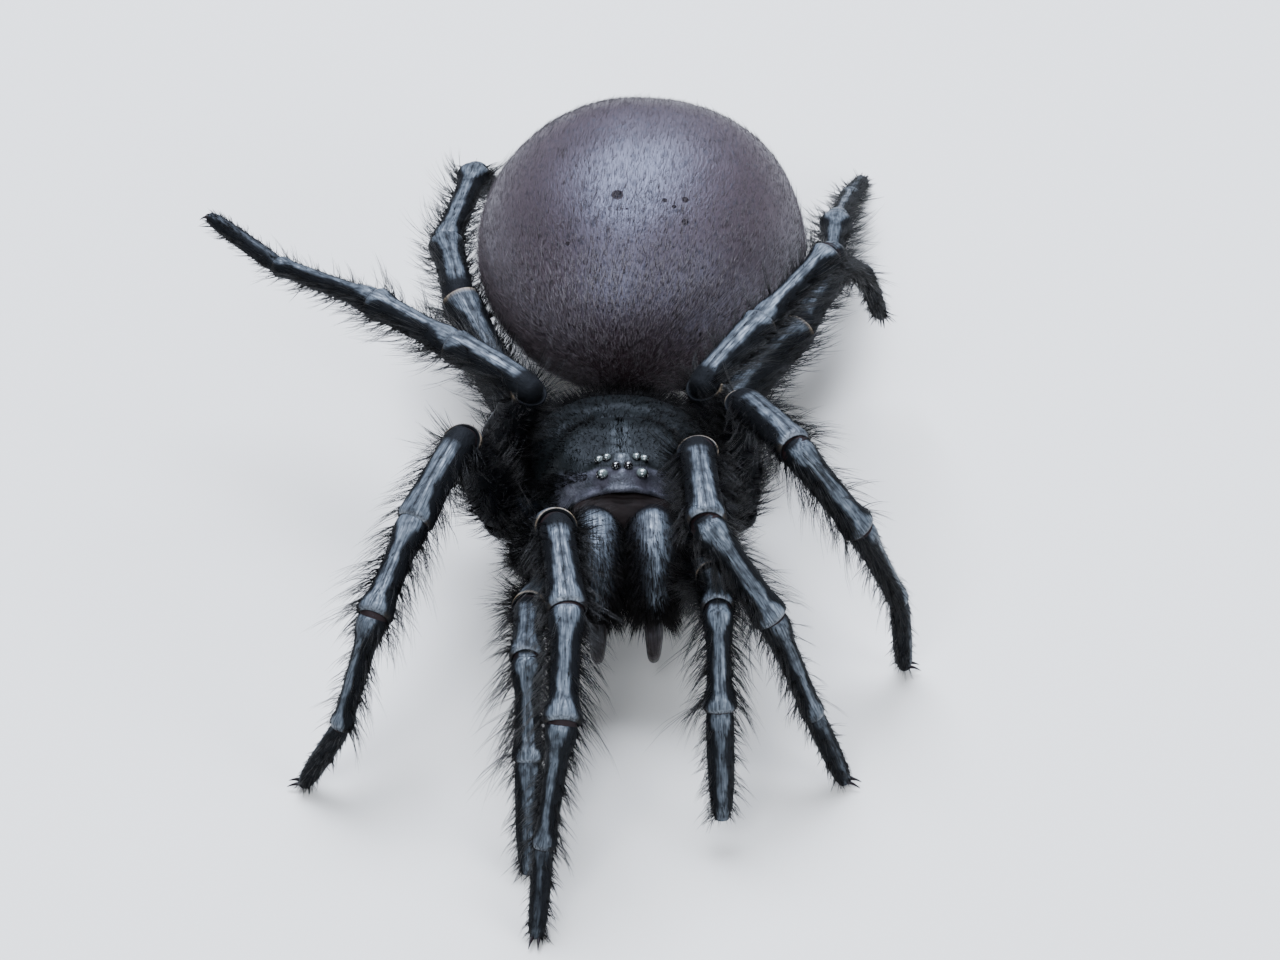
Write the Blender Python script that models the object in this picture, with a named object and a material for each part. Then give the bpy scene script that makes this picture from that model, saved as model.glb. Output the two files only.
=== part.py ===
"""A life-size still model of a female Sydney funnel-web spider, facing -Y, standing on the floor at Z 0.

Sizes are in millimetres and angles in degrees, and MM turns them to metres. The body frame has its origin
midway between the second and third pair of hips, and is lifted and tipped onto the legs by PROSOMA.
"""

import math

import bmesh
import bpy
from mathutils import Euler, Matrix, Vector

MM = 0.001

# Clear space between two solids that meet
GAP = 0.28

# Stance of the whole body
STAND_HEIGHT = 4.6
HEAD_UP = 4.0

# Head shield. Its underside, rim and rises are heights in the body frame. Its neck is the half width of the
# raised head at the rear, which widens ahead.
SHIELD_FRONT = -5.6
SHIELD_REAR = 4.7
SHIELD_HALF_WIDTH = 4.2
SHIELD_UNDERSIDE = 0.95
SHIELD_RIM = 0.45
FRONT_LIFT = 1.7
THORAX_RISE = 1.75
CAPUT_RISE = 1.0
SHIELD_FRONT_POWER = 2.6
SHIELD_REAR_POWER = 2.3
WAIST_SHARE = 0.13
NECK_HALF_WIDTH = 1.75
NECK_WIDENING = 1.75
NECK_SLOPE = 0.75
FURROW_Y = 1.35
FURROW_BOW = 0.3
FURROW_DEPTH = 0.42
FURROW_WIDTH = 0.38
GROOVE_COUNT = 4
GROOVE_FIRST = 38
GROOVE_STEP = 34
GROOVE_DEPTH = 0.12
GROOVE_WIDTH = 0.09
SHIELD_SPOKES = 40
SHIELD_RINGS = 12

# Eyes: a low mound with four lenses on each side, each given as across, ahead of the mound's middle, radius
EYES = {
    "front_middle": (0.28, 0.22, 0.2),
    "front_side": (0.88, 0.36, 0.27),
    "rear_side": (0.98, -0.3, 0.22),
    "rear_middle": (0.62, -0.36, 0.17),
}
EYE_MOUND_Y = -4.82
EYE_MOUND_HALF = (1.35, 0.75)
EYE_MOUND_SIDES = 20
MOUND_GAP = 0.26
MOUND_LEVELS = ((1.0, 0.0), (0.97, 0.12), (0.8, 0.26), (0.45, 0.3))
LENS_RISE = 0.2
LENS_LATITUDES = (-66, -22, 22, 66)
LENS_SIDES = 8

# Breastplate: levels as (height, share of the full size), and the lip ahead of it
STERNUM_HALF_WIDTH = 1.75
STERNUM_HALF_LENGTH = 3.6
STERNUM_LEVELS = ((0.6, 0.7), (0.1, 0.92), (-1.2, 1.0), (-1.8, 0.86), (-2.0, 0.6))
STERNUM_SIDES = 20
LIP_POINTS = ((0, -3.0, -1.5), (0, -4.5, -1.45))
LIP_PROFILE = ((0.0, 0.7, 0.4), (0.9, 0.75, 0.42), (-0.02, 0.45, 0.3))

# Abdomen
ABDOMEN_HALF_LENGTH = 8.6
ABDOMEN_HALF_WIDTH = 7.7
ABDOMEN_TOP = 6.7
ABDOMEN_BOTTOM = 6.0
ABDOMEN_CENTRE = (1.4, 13.7, 7.7)
ABDOMEN_YAW = -9.0
ABDOMEN_NOSE_UP = 3.0
ABDOMEN_SIDES = 28
ABDOMEN_RINGS = 18
ABDOMEN_END_ANGLE = 8
REAR_BULGE = 0.11

# Waist between shield and abdomen
PEDICEL_FRONT = (0, 3.95, 0.0)
PEDICEL_REAR_ALONG = -0.8
PEDICEL_CLEARANCE = 0.6
PEDICEL_PROFILE = ((0.0, 0.75, 0.45), (0.9, 0.6, 0.45), (-0.02, 0.6, 0.4))

# Jaws and fangs, each with stations along its middle: to the rear, up, half width, half height
JAW_X = 1.22
JAW_SIDES = 14
JAW_STATIONS = (
    (-5.45, 1.2, 0.85, 0.95),
    (-5.95, 1.45, 1.0, 1.28),
    (-6.7, 1.5, 1.06, 1.5),
    (-7.5, 1.25, 1.07, 1.5),
    (-8.3, 0.75, 1.02, 1.35),
    (-9.0, 0.05, 0.88, 1.05),
    (-9.35, -0.5, 0.6, 0.65),
)
FANG_SIDES = 10
FANG_STATIONS = (
    (-9.5, -1.4, 0.36, 0.44),
    (-9.45, -2.0, 0.36, 0.42),
    (-9.1, -2.8, 0.3, 0.34),
    (-8.5, -3.45, 0.2, 0.22),
    (-7.8, -3.9, 0.07, 0.07),
)

# Spinnerets: root on the left in the abdomen's frame, then each length, its way and its profile
SPINNERET_ROOT = (0.95, 8.0, -2.6)
SPINNERET_LENGTHS = (1.7, 1.5, 2.1)
SPINNERET_WAYS = ((0.22, 1.0, -0.32), (0.3, 1.0, 0.1), (0.36, 1.0, 0.34))
SPINNERET_PROFILES = (
    ((0.0, 0.5, 0.5), (0.5, 0.62, 0.62), (-0.4, 0.56, 0.56), (-0.05, 0.44, 0.44)),
    ((0.4, 0.54, 0.54), (-0.4, 0.48, 0.48), (-0.05, 0.36, 0.36)),
    ((0.4, 0.45, 0.45), (-0.8, 0.34, 0.34), (-0.02, 0.14, 0.14)),
)

# Segment lengths: femur, patella, tibia, metatarsus, tarsus
LENGTHS = {
    1: (8.4, 4.8, 5.0, 5.2, 3.8),
    2: (7.8, 4.4, 4.8, 5.1, 3.9),
    3: (6.6, 4.5, 4.8, 5.9, 4.2),
    4: (8.3, 4.7, 5.9, 6.7, 4.0),
}
THICKNESS = {1: 1.0, 2: 0.97, 3: 0.95, 4: 1.0}
PALP_LENGTHS = (6.0, 3.6, 4.2, 4.8)
PALP_THICKNESS = 0.84
PALP_COXA_SHARE = 0.9

# Profiles of the limbs' segments for a thickness of 1, each station as (millimetres past the segment's start
# or, if negative, short of its end, half width, half height)
COXA = ((0.0, 0.82, 0.88), (0.7, 0.98, 1.0), (-1.1, 1.08, 1.02), (-0.1, 0.9, 0.9))
FEMUR = ((1.25, 0.88, 0.98), (2.7, 0.95, 1.1), (-2.6, 0.92, 1.0), (-0.95, 0.93, 0.9), (-0.1, 0.78, 0.76))
PATELLA = ((0.1, 0.74, 0.74), (1.1, 0.85, 0.87), (-1.2, 0.84, 0.84), (-0.1, 0.68, 0.68))
TIBIA = ((0.8, 0.77, 0.79), (-1.1, 0.75, 0.76), (-0.1, 0.62, 0.62))
METATARSUS = ((0.1, 0.58, 0.58), (0.9, 0.64, 0.66), (-0.9, 0.55, 0.55), (-0.05, 0.45, 0.45))
TARSUS = ((0.6, 0.5, 0.5), (-1.2, 0.46, 0.46), (-0.05, 0.36, 0.36))
CLAW = ((0.5, 0.22, 0.2), (-0.01, 0.09, 0.09))
PALP_TARSUS = ((0.7, 0.7, 0.72), (-1.3, 0.66, 0.66), (-0.3, 0.5, 0.5), (-0.01, 0.3, 0.3))

# Hips in the body frame, on the animal's left: where the coxa starts, and where the femur starts
HIPS = {
    1: ((2.1, -3.5, -0.75), (4.2, -5.25, -0.25)),
    2: ((2.45, -1.15, -0.75), (5.3, -2.3, -0.25)),
    3: ((2.45, 1.2, -0.75), (5.85, 1.1, -0.25)),
    4: ((2.0, 3.45, -0.75), (4.25, 4.3, -0.2)),
}
PALP_HIP = ((1.15, -5.1, -1.35), (3.1, -6.9, -0.75))

# Pose: heading (0 straight out from the side, 90 to the rear, -90 ahead) and lift of each segment. A foot on
# the floor has no lift for its last two segments, because the floor sets it.
POSE = {
    ("right", 1): ((-103, 47), (-94, -7), (-86, -26), (-70, None), (-78, None)),
    ("right", 2): ((-63, 63), (-60, -22), (-68, -20), (-50, None), (10, None)),
    ("right", 3): ((-140, 68), (41, 5), (42, 2), (40, -5), (38, 15)),
    ("right", 4): ((68, 20), (82, -1), (104, 2), (100, None), (96, None)),
    ("left", 1): ((-112, 69), (-88, -1), (-29, -52), (-20, None), (-14, None)),
    ("left", 2): ((-90, 77), (-64, 6), (-17, -52), (22, -66), (5, None)),
    ("left", 3): ((-146, 67), (50, 12), (46, 16), (62, -42), (60, -60)),
    ("left", 4): ((56, 6), (68, -1), (82, -7), (78, None), (75, None)),
}
PALP_POSE = {
    "right": ((-78, 31), (-88, 4), (-90, -54), (-88, None)),
    "left": ((-83, 42), (-90, 18), (-90, -56), (-88, -68)),
}
SIDES = {"left": 1.0, "right": -1.0}
LIMB_SIDES = 10
BEND_REACH = 0.75
BEND_CLEARANCE = 0.12

# Feet: how high a tip's middle stands, the claws ahead of it, and above what height a foot is a raised one
TIP_CLEARANCE = 0.2
CLAW_LENGTH = 0.8
CLAW_FLOOR = 0.12
CLAW_DROOP = 0.7
RAISED_FOOT = 2.0
STEEPEST = 0.995

# Angle above which an edge is drawn sharp
SHARP_ANGLE = 40

PROSOMA = Matrix.Translation((0, 0, STAND_HEIGHT)) @ Matrix.Rotation(math.radians(-HEAD_UP), 4, "X")


def clear_scene():
    """Empties the scene."""
    for obj in list(bpy.data.objects):
        bpy.data.objects.remove(obj)


def material(name, colour, roughness):
    """A plain finish with a linear colour."""
    finish = bpy.data.materials.new(name)
    finish.use_nodes = True
    shader = finish.node_tree.nodes["Principled BSDF"]
    shader.inputs["Base Color"].default_value = (*colour, 1.0)
    shader.inputs["Roughness"].default_value = roughness
    shader.inputs["Metallic"].default_value = 0.0
    return finish


def smooth(edge_low, edge_high, value):
    """Eases from 0 at edge_low to 1 at edge_high."""
    t = min(1.0, max(0.0, (value - edge_low) / (edge_high - edge_low)))
    return t * t * (3 - 2 * t)


def mesh_object(name, bm, finish):
    """A named object from a finished mesh."""
    bmesh.ops.recalc_face_normals(bm, faces=bm.faces)
    mesh = bpy.data.meshes.new(name)
    bm.to_mesh(mesh)
    bm.free()
    mesh.materials.append(finish)
    mesh.shade_smooth()
    mesh.set_sharp_from_angle(angle=math.radians(SHARP_ANGLE))
    obj = bpy.data.objects.new(name, mesh)
    bpy.context.scene.collection.objects.link(obj)
    return obj


def loft(name, rings, finish):
    """A closed solid through rings of points in millimetres, with a flat face at each end."""
    bm = bmesh.new()
    levels = [[bm.verts.new(Vector(p) * MM) for p in ring] for ring in rings]
    count = len(levels[0])
    for low, high in zip(levels, levels[1:]):
        for i in range(count):
            j = (i + 1) % count
            bm.faces.new((low[i], low[j], high[j], high[i]))
    bm.faces.new(list(reversed(levels[0])))
    bm.faces.new(levels[-1])
    return mesh_object(name, bm, finish)


def section(centre, side, normal, half_width, half_height, count):
    """An oval ring of points."""
    ring = []
    for i in range(count):
        angle = math.tau * (i + 0.5) / count
        ring.append(centre + side * (half_width * math.cos(angle)) + normal * (half_height * math.sin(angle)))
    return ring


def mitred(ring, centre, before, after):
    """Slides a section along its limb onto the plane halving a bend. The outer side goes only part way."""
    halfway = (before + after).normalized()
    slid = []
    for point in ring:
        offset = point - centre
        ahead = offset.dot(halfway)
        share = 1.0 if ahead > 0 else BEND_REACH
        slid.append(point - before * (share * ahead / before.dot(halfway)))
    return slid


def crowded(distance, half_width, axis, neighbour):
    """Whether a section would cut into the bend with the neighbouring length."""
    if neighbour is None:
        return False
    return distance < half_width * math.tan(axis.angle(neighbour) / 2) + BEND_CLEARANCE


def thickened(profile, thickness):
    """A profile with its half sizes scaled."""
    return [(along, width * thickness, height * thickness) for along, width, height in profile]


def limb(name, points, profiles, finish, before=None, after=None):
    """A jointed limb as one solid, with a profile for each segment. before and after are the directions of
    the neighbouring limbs, whose joints the ends are mitred to, with half a gap."""
    axes = [(b - a).normalized() for a, b in zip(points, points[1:])]
    side = axes[0].cross(Vector((0, 0, 1)))
    if side.length < 0.05:
        side = axes[0].cross(Vector((0, 1, 0)))
    side.normalize()
    rings = []
    for i, (axis, plan) in enumerate(zip(axes, profiles)):
        if i:
            side = axes[i - 1].rotation_difference(axis) @ side
        normal = side.cross(axis).normalized()
        length = (points[i + 1] - points[i]).length
        leaving = axes[i - 1] if i else before
        entering = axes[i + 1] if i + 1 < len(axes) else after
        for k, (along, half_width, half_height) in enumerate(plan):
            distance = along if along >= 0 else length + along
            inner = 0 < k < len(plan) - 1 or (k == 0 and i > 0)
            near_start = crowded(distance, half_width, axis, leaving)
            near_end = crowded(length - distance, half_width, axis, entering)
            if inner and (near_start or near_end):
                continue
            centre = points[i] + axis * distance
            ring = section(centre, side, normal, half_width, half_height, LIMB_SIDES)
            if k == 0 and i == 0 and leaving is not None:
                centre = points[i] + (axis + leaving).normalized() * (GAP / 2)
                ring = section(centre, side, normal, half_width, half_height, LIMB_SIDES)
                ring = mitred(ring, centre, axis, leaving)
            if k == len(plan) - 1 and entering is not None:
                shift = -GAP / 2 if i + 1 == len(axes) else 0.0
                centre = points[i + 1] + (axis + entering).normalized() * shift
                ring = section(centre, side, normal, half_width, half_height, LIMB_SIDES)
                ring = mitred(ring, centre, axis, entering)
            rings.append(ring)
    return loft(name, rings, finish)


def swept(name, across, stations, finish, count):
    """A solid in an upright plane of the body, through stations of to the rear, up and the half sizes."""
    path = [PROSOMA @ Vector((across, y, z)) for y, z, _, _ in stations]
    rings = []
    for i, (point, (_, _, half_width, half_height)) in enumerate(zip(path, stations)):
        before = path[max(0, i - 1)]
        after = path[min(len(path) - 1, i + 1)]
        axis = (after - before).normalized()
        side = Vector((1, 0, 0))
        side = (side - axis * side.dot(axis)).normalized()
        rings.append(section(point, side, side.cross(axis).normalized(), half_width, half_height, count))
    return loft(name, rings, finish)


def lens(centre, radius, finish):
    """A round eye, as a few stacked rings."""
    rings = []
    for step in LENS_LATITUDES:
        angle = math.radians(step)
        flat = radius * math.cos(angle)
        middle = centre + Vector((0, 0, radius * math.sin(angle)))
        rings.append(section(middle, Vector((1, 0, 0)), Vector((0, 1, 0)), flat, flat, LENS_SIDES))
    return loft("eye", rings, finish)


def fused(name, pieces, finish):
    """One closed solid from pieces that run into each other, keeping the largest closed surface."""
    first = pieces[0]
    first.name = name
    group = bpy.data.collections.new(name + "_pieces")
    bpy.context.scene.collection.children.link(group)
    for piece in pieces[1:]:
        bpy.context.scene.collection.objects.unlink(piece)
        group.objects.link(piece)
    union = first.modifiers.new("union", "BOOLEAN")
    union.operation = "UNION"
    union.operand_type = "COLLECTION"
    union.collection = group
    union.solver = "EXACT"
    keep_result(first)
    for piece in pieces[1:]:
        bpy.data.objects.remove(piece)
    bpy.data.collections.remove(group)
    keep_largest(first)
    first.data.materials.clear()
    first.data.materials.append(finish)
    return first


def keep_result(obj):
    """Puts the result of an object's modifiers in place of its mesh."""
    bpy.context.view_layer.update()
    evaluated = obj.evaluated_get(bpy.context.evaluated_depsgraph_get())
    mesh = bpy.data.meshes.new_from_object(evaluated)
    obj.modifiers.clear()
    obj.data = mesh


def keep_largest(obj):
    """Drops every closed surface but the one with the most points."""
    bm = bmesh.new()
    bm.from_mesh(obj.data)
    unseen = set(bm.verts)
    shells = []
    while unseen:
        shell, edge = set(), [next(iter(unseen))]
        while edge:
            vert = edge.pop()
            if vert in unseen:
                unseen.discard(vert)
                shell.add(vert)
                edge.extend(e.other_vert(vert) for e in vert.link_edges)
        shells.append(shell)
    shells.sort(key=len)
    dropped = [v for shell in shells[:-1] for v in shell]
    if dropped:
        bmesh.ops.delete(bm, geom=dropped, context="VERTS")
    bm.to_mesh(obj.data)
    bm.free()


def stood(obj):
    """Cuts a foot flat where it meets the floor."""
    bm = bmesh.new()
    bm.from_mesh(obj.data)
    cut = bmesh.ops.bisect_plane(
        bm,
        geom=bm.verts[:] + bm.edges[:] + bm.faces[:],
        dist=1e-7,
        plane_co=(0, 0, 0),
        plane_no=(0, 0, -1),
        clear_outer=True,
    )
    rim = [e for e in cut["geom_cut"] if isinstance(e, bmesh.types.BMEdge) and e.is_valid and e.is_boundary]
    if rim:
        bmesh.ops.holes_fill(bm, edges=rim, sides=0)
    bmesh.ops.recalc_face_normals(bm, faces=bm.faces)
    bm.to_mesh(obj.data)
    bm.free()


def direction(side, heading, lift):
    """The way that a segment points."""
    a, b = math.radians(heading), math.radians(lift)
    return Vector((SIDES[side] * math.cos(a) * math.cos(b), math.sin(a) * math.cos(b), math.sin(b)))


def joints_of(side, hip, lengths, pose):
    """Joint points from hip to tip. Segments without a lift dip together until the tip is on the floor."""
    point = PROSOMA @ Vector((hip[0] * SIDES[side], hip[1], hip[2]))
    points = [point]
    for i, (length, (heading, lift)) in enumerate(zip(lengths, pose)):
        if lift is None:
            to_floor = (points[-1].z - TIP_CLEARANCE) / sum(lengths[i:])
            lift = -math.degrees(math.asin(min(STEEPEST, to_floor)))
        points.append(points[-1] + direction(side, heading, lift) * length)
    return points


def claw_end(tip, along, side, heading):
    """The claws' tip: ahead of a foot on the floor, or on from a raised foot and down."""
    ahead = direction(side, heading, 0)
    if tip.z > RAISED_FOOT:
        return tip + (along + Vector((0, 0, -CLAW_DROOP))).normalized() * CLAW_LENGTH
    return Vector((tip.x, tip.y, CLAW_FLOOR)) + ahead * CLAW_LENGTH


def body_point(side, place):
    """A point given on the animal's left, on the side asked for and in the body's stance."""
    return PROSOMA @ Vector((place[0] * SIDES[side], place[1], place[2]))


def leg(side, pair, finish):
    """Coxa to femur, patella and tibia, then metatarsus and tarsus, as three solids."""
    name = f"leg_{side}_{pair}_"
    thickness = THICKNESS[pair]
    pose = POSE[(side, pair)]
    coxa_start, hip = HIPS[pair]
    points = joints_of(side, hip, LENGTHS[pair], pose)
    along = [(b - a).normalized() for a, b in zip(points, points[1:])]
    hip_point, knee, shin, ankle, heel, tip = points
    limb(
        name + "upper",
        (body_point(side, coxa_start), hip_point, knee),
        (thickened(COXA, thickness), thickened(FEMUR, thickness)),
        finish,
        after=along[1],
    )
    limb(
        name + "middle",
        (knee, shin, ankle),
        (thickened(PATELLA, thickness), thickened(TIBIA, thickness)),
        finish,
        before=along[0],
        after=along[3],
    )
    lower = limb(
        name + "lower",
        (ankle, heel, tip, claw_end(tip, along[4], side, pose[4][0])),
        (thickened(METATARSUS, thickness), thickened(TARSUS, thickness), CLAW),
        finish,
        before=along[2],
    )
    stood(lower)


def palp(side, finish):
    """The leg-like feeler beside the jaws, in two solids."""
    name = f"palp_{side}_"
    coxa_start, hip = PALP_HIP
    points = joints_of(side, hip, PALP_LENGTHS, PALP_POSE[side])
    along = [(b - a).normalized() for a, b in zip(points, points[1:])]
    hip_point, knee, shin, ankle, tip = points
    limb(
        name + "upper",
        (body_point(side, coxa_start), hip_point, knee),
        (thickened(COXA, PALP_THICKNESS * PALP_COXA_SHARE), thickened(FEMUR, PALP_THICKNESS)),
        finish,
        after=along[1],
    )
    lower = limb(
        name + "lower",
        (knee, shin, ankle, tip),
        [thickened(profile, PALP_THICKNESS) for profile in (PATELLA, TIBIA, PALP_TARSUS)],
        finish,
        before=along[0],
    )
    stood(lower)


def shield_outline(angle):
    """Distance from the shield's middle to its edge in plan, for an angle from straight ahead."""
    ahead, aside = math.cos(angle), abs(math.sin(angle))
    half_length = -SHIELD_FRONT if ahead > 0 else SHIELD_REAR
    power = SHIELD_FRONT_POWER if ahead > 0 else SHIELD_REAR_POWER
    oval = ((abs(ahead) / half_length) ** power + (aside / SHIELD_HALF_WIDTH) ** power) ** (-1 / power)
    forward = oval * ahead
    waist = WAIST_SHARE * smooth(1.5, 4.6, forward) * aside
    return oval * (1 - waist)


def margin_lift(x, y):
    """How far the rim rises over the jaws, at the front."""
    return FRONT_LIFT * smooth(2.9, 1.5, abs(x)) * smooth(-3.4, -4.8, y)


def shield_height(x, y, edge):
    """Height of the shield's top in the body frame. edge runs from 0 in the middle to 1 at the rim."""
    neck = NECK_HALF_WIDTH + NECK_WIDENING * smooth(0.6, -4.2, y)
    caput = smooth(neck + NECK_SLOPE, neck - NECK_SLOPE, abs(x)) * smooth(1.0, -1.8, y)
    inward = max(0.0, 1 - edge ** (3 + 6 * caput))
    lift = margin_lift(x, y)
    crest = THORAX_RISE * inward**0.8 + CAPUT_RISE * caput * inward**0.35
    height = SHIELD_UNDERSIDE + SHIELD_RIM + lift + crest * (1 - lift / (THORAX_RISE + CAPUT_RISE))
    furrow_y = FURROW_Y - FURROW_BOW * (x / 1.2) ** 2
    height -= FURROW_DEPTH * math.exp(-(((y - furrow_y) / FURROW_WIDTH) ** 2)) * smooth(1.7, 1.0, abs(x))
    bearing = math.atan2(abs(x), -(y - 1.0))
    for k in range(GROOVE_COUNT):
        spoke = math.radians(GROOVE_FIRST + GROOVE_STEP * k)
        groove = math.exp(-(((bearing - spoke) / GROOVE_WIDTH) ** 2))
        height -= GROOVE_DEPTH * groove * smooth(0.25, 0.6, edge) * (1 - edge**4)
    return height


def shield(finish):
    """The head shield, with a raised head, a furrow behind it and shallow radial grooves."""
    bm = bmesh.new()
    top = []
    for ring in range(1, SHIELD_RINGS + 1):
        edge = (ring / SHIELD_RINGS) ** 0.85
        verts = []
        for spoke in range(SHIELD_SPOKES):
            angle = math.tau * spoke / SHIELD_SPOKES
            reach = shield_outline(angle) * edge
            x, y = reach * math.sin(angle), -reach * math.cos(angle)
            verts.append(bm.verts.new(PROSOMA @ Vector((x, y, shield_height(x, y, edge))) * MM))
        top.append(verts)
    for share in (0.955, 0.6):
        under = []
        for spoke in range(SHIELD_SPOKES):
            angle = math.tau * spoke / SHIELD_SPOKES
            reach = shield_outline(angle) * share
            x, y = reach * math.sin(angle), -reach * math.cos(angle)
            under.append(bm.verts.new(PROSOMA @ Vector((x, y, SHIELD_UNDERSIDE + margin_lift(x, y))) * MM))
        top.append(under)
    middle = bm.verts.new(PROSOMA @ Vector((0, 0, shield_height(0, 0, 0))) * MM)
    for i in range(SHIELD_SPOKES):
        j = (i + 1) % SHIELD_SPOKES
        bm.faces.new((middle, top[0][i], top[0][j]))
        for inner, outer in zip(top, top[1:]):
            bm.faces.new((inner[i], outer[i], outer[j], inner[j]))
    bm.faces.new(list(reversed(under)))
    return mesh_object("carapace", bm, finish)


def surface_at(x, y):
    """Shield height over a point in plan."""
    angle = math.atan2(x, -y)
    reach = math.hypot(x, y)
    return shield_height(x, y, min(1.0, reach / shield_outline(angle)))


def mound_ring(scale, rise):
    """One ring of the eye mound, in the body's stance."""
    ring = []
    for i in range(EYE_MOUND_SIDES):
        angle = math.tau * i / EYE_MOUND_SIDES
        x = scale * EYE_MOUND_HALF[0] * math.cos(angle)
        y = EYE_MOUND_Y + scale * EYE_MOUND_HALF[1] * math.sin(angle)
        ring.append(PROSOMA @ Vector((x, y, surface_at(x, y) + MOUND_GAP + rise)))
    return ring


def eyes(finish):
    """A low mound with the eight lenses, resting just above the shield."""
    pieces = [loft("mound", [mound_ring(scale, rise) for scale, rise in MOUND_LEVELS], finish)]
    for x, ahead, radius in EYES.values():
        y = EYE_MOUND_Y - ahead
        level = surface_at(x, y) + MOUND_GAP + LENS_RISE
        for side in SIDES:
            pieces.append(lens(body_point(side, (x, y, level)), radius, finish))
    return fused("eyes", pieces, finish)


def sternum(finish):
    """The breastplate between the coxae, with the lip ahead of it."""
    rings = []
    for level, scale in STERNUM_LEVELS:
        ring = []
        for i in range(STERNUM_SIDES):
            angle = math.tau * i / STERNUM_SIDES
            x = scale * STERNUM_HALF_WIDTH * math.cos(angle)
            y = scale * STERNUM_HALF_LENGTH * math.sin(angle)
            ring.append(PROSOMA @ Vector((x, y, level)))
        rings.append(ring)
    plate = loft("plate", rings, finish)
    lip = limb("lip", [PROSOMA @ Vector(point) for point in LIP_POINTS], (LIP_PROFILE,), finish)
    return fused("sternum", [plate, lip], finish)


def jaw(side, finish, fang_finish):
    """One jaw, thick at the root and bent down ahead, with its fang."""
    across = JAW_X * SIDES[side]
    swept(f"chelicera_{side}", across, JAW_STATIONS, finish, JAW_SIDES)
    swept(f"fang_{side}", across, FANG_STATIONS, fang_finish, FANG_SIDES)


def abdomen_frame():
    """Where the abdomen is and how it is turned."""
    turn = Euler((math.radians(-ABDOMEN_NOSE_UP), 0, math.radians(ABDOMEN_YAW)), "XYZ").to_matrix().to_4x4()
    return Matrix.Translation(ABDOMEN_CENTRE) @ turn


def abdomen_point(along, around):
    """A point of the abdomen's surface. along is -1 at the front and 1 at the rear, around starts at the left."""
    girth = math.sqrt(max(0.0, 1 - along * along)) * (1 + REAR_BULGE * along)
    rise = math.sin(around)
    half_height = ABDOMEN_TOP if rise > 0 else ABDOMEN_BOTTOM
    across = ABDOMEN_HALF_WIDTH * girth * math.cos(around)
    return Vector((across, ABDOMEN_HALF_LENGTH * along, half_height * girth * rise))


def abdomen(finish):
    """The domed abdomen."""
    frame = abdomen_frame()
    rings = []
    for ring in range(ABDOMEN_RINGS + 1):
        swing = ABDOMEN_END_ANGLE + (180 - 2 * ABDOMEN_END_ANGLE) * ring / ABDOMEN_RINGS
        along = -math.cos(math.radians(swing))
        turns = [math.tau * i / ABDOMEN_SIDES for i in range(ABDOMEN_SIDES)]
        rings.append([frame @ abdomen_point(along, around) for around in turns])
    return loft("abdomen", rings, finish)


def pedicel(finish):
    """The narrow waist between shield and abdomen."""
    front = PROSOMA @ Vector(PEDICEL_FRONT)
    rear = abdomen_frame() @ abdomen_point(PEDICEL_REAR_ALONG, -math.pi / 2)
    rear += (front - rear).normalized() * PEDICEL_CLEARANCE
    return limb("pedicel", (front, rear), (PEDICEL_PROFILE,), finish)


def spinneret(side, finish):
    """A long rear spinneret of three lengths."""
    frame = abdomen_frame()
    mirror = Vector((SIDES[side], 1, 1))
    points = [frame @ (Vector(SPINNERET_ROOT) * mirror)]
    for length, way in zip(SPINNERET_LENGTHS, SPINNERET_WAYS):
        points.append(points[-1] + (frame.to_3x3() @ (Vector(way) * mirror)).normalized() * length)
    return limb(f"spinneret_{side}", points, SPINNERET_PROFILES, finish)


def centre_on_floor():
    """Moves every solid so that the whole is centred over the origin and its lowest point is on the floor."""
    solids = [obj for obj in bpy.data.objects if obj.type == "MESH"]
    corners = [Vector(corner) for obj in solids for corner in obj.bound_box]
    low = Vector([min(corner[k] for corner in corners) for k in range(3)])
    high = Vector([max(corner[k] for corner in corners) for k in range(3)])
    for obj in solids:
        obj.location = (-(low.x + high.x) / 2, -(low.y + high.y) / 2, -low.z)


def build():
    """Builds every solid and stands the whole on the floor."""
    clear_scene()
    gloss = material("glossy_black_shell", (0.012, 0.012, 0.015), 0.25)
    hairy = material("hairy_black_leg", (0.016, 0.017, 0.021), 0.4)
    glass = material("eye_glass", (0.008, 0.008, 0.01), 0.08)
    plum = material("plum_velvet", (0.05, 0.03, 0.04), 0.6)
    jaw_finish = material("brown_black_jaw", (0.022, 0.014, 0.016), 0.3)
    fang_finish = material("dark_red_fang", (0.05, 0.012, 0.008), 0.2)
    shield(gloss)
    eyes(glass)
    sternum(jaw_finish)
    abdomen(plum)
    pedicel(plum)
    for side in SIDES:
        jaw(side, jaw_finish, fang_finish)
        palp(side, hairy)
        spinneret(side, plum)
        for pair in HIPS:
            leg(side, pair, hairy)
    centre_on_floor()


build()
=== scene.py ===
"""A life-size funnel-web spider: glossy black shell, velvet abdomen, bristles, on a pale studio floor.

Sizes are in millimetres and angles in degrees until a mesh is made. The body frame stands between the second
and third pairs of hips, as in the solids, and Stance carries it and everything else to the frame's own place.
"""

import logging
import math
from dataclasses import dataclass, field
from enum import Enum
from typing import Protocol

import bpy
import numpy as np
from mathutils import Euler, Matrix, Vector


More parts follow.
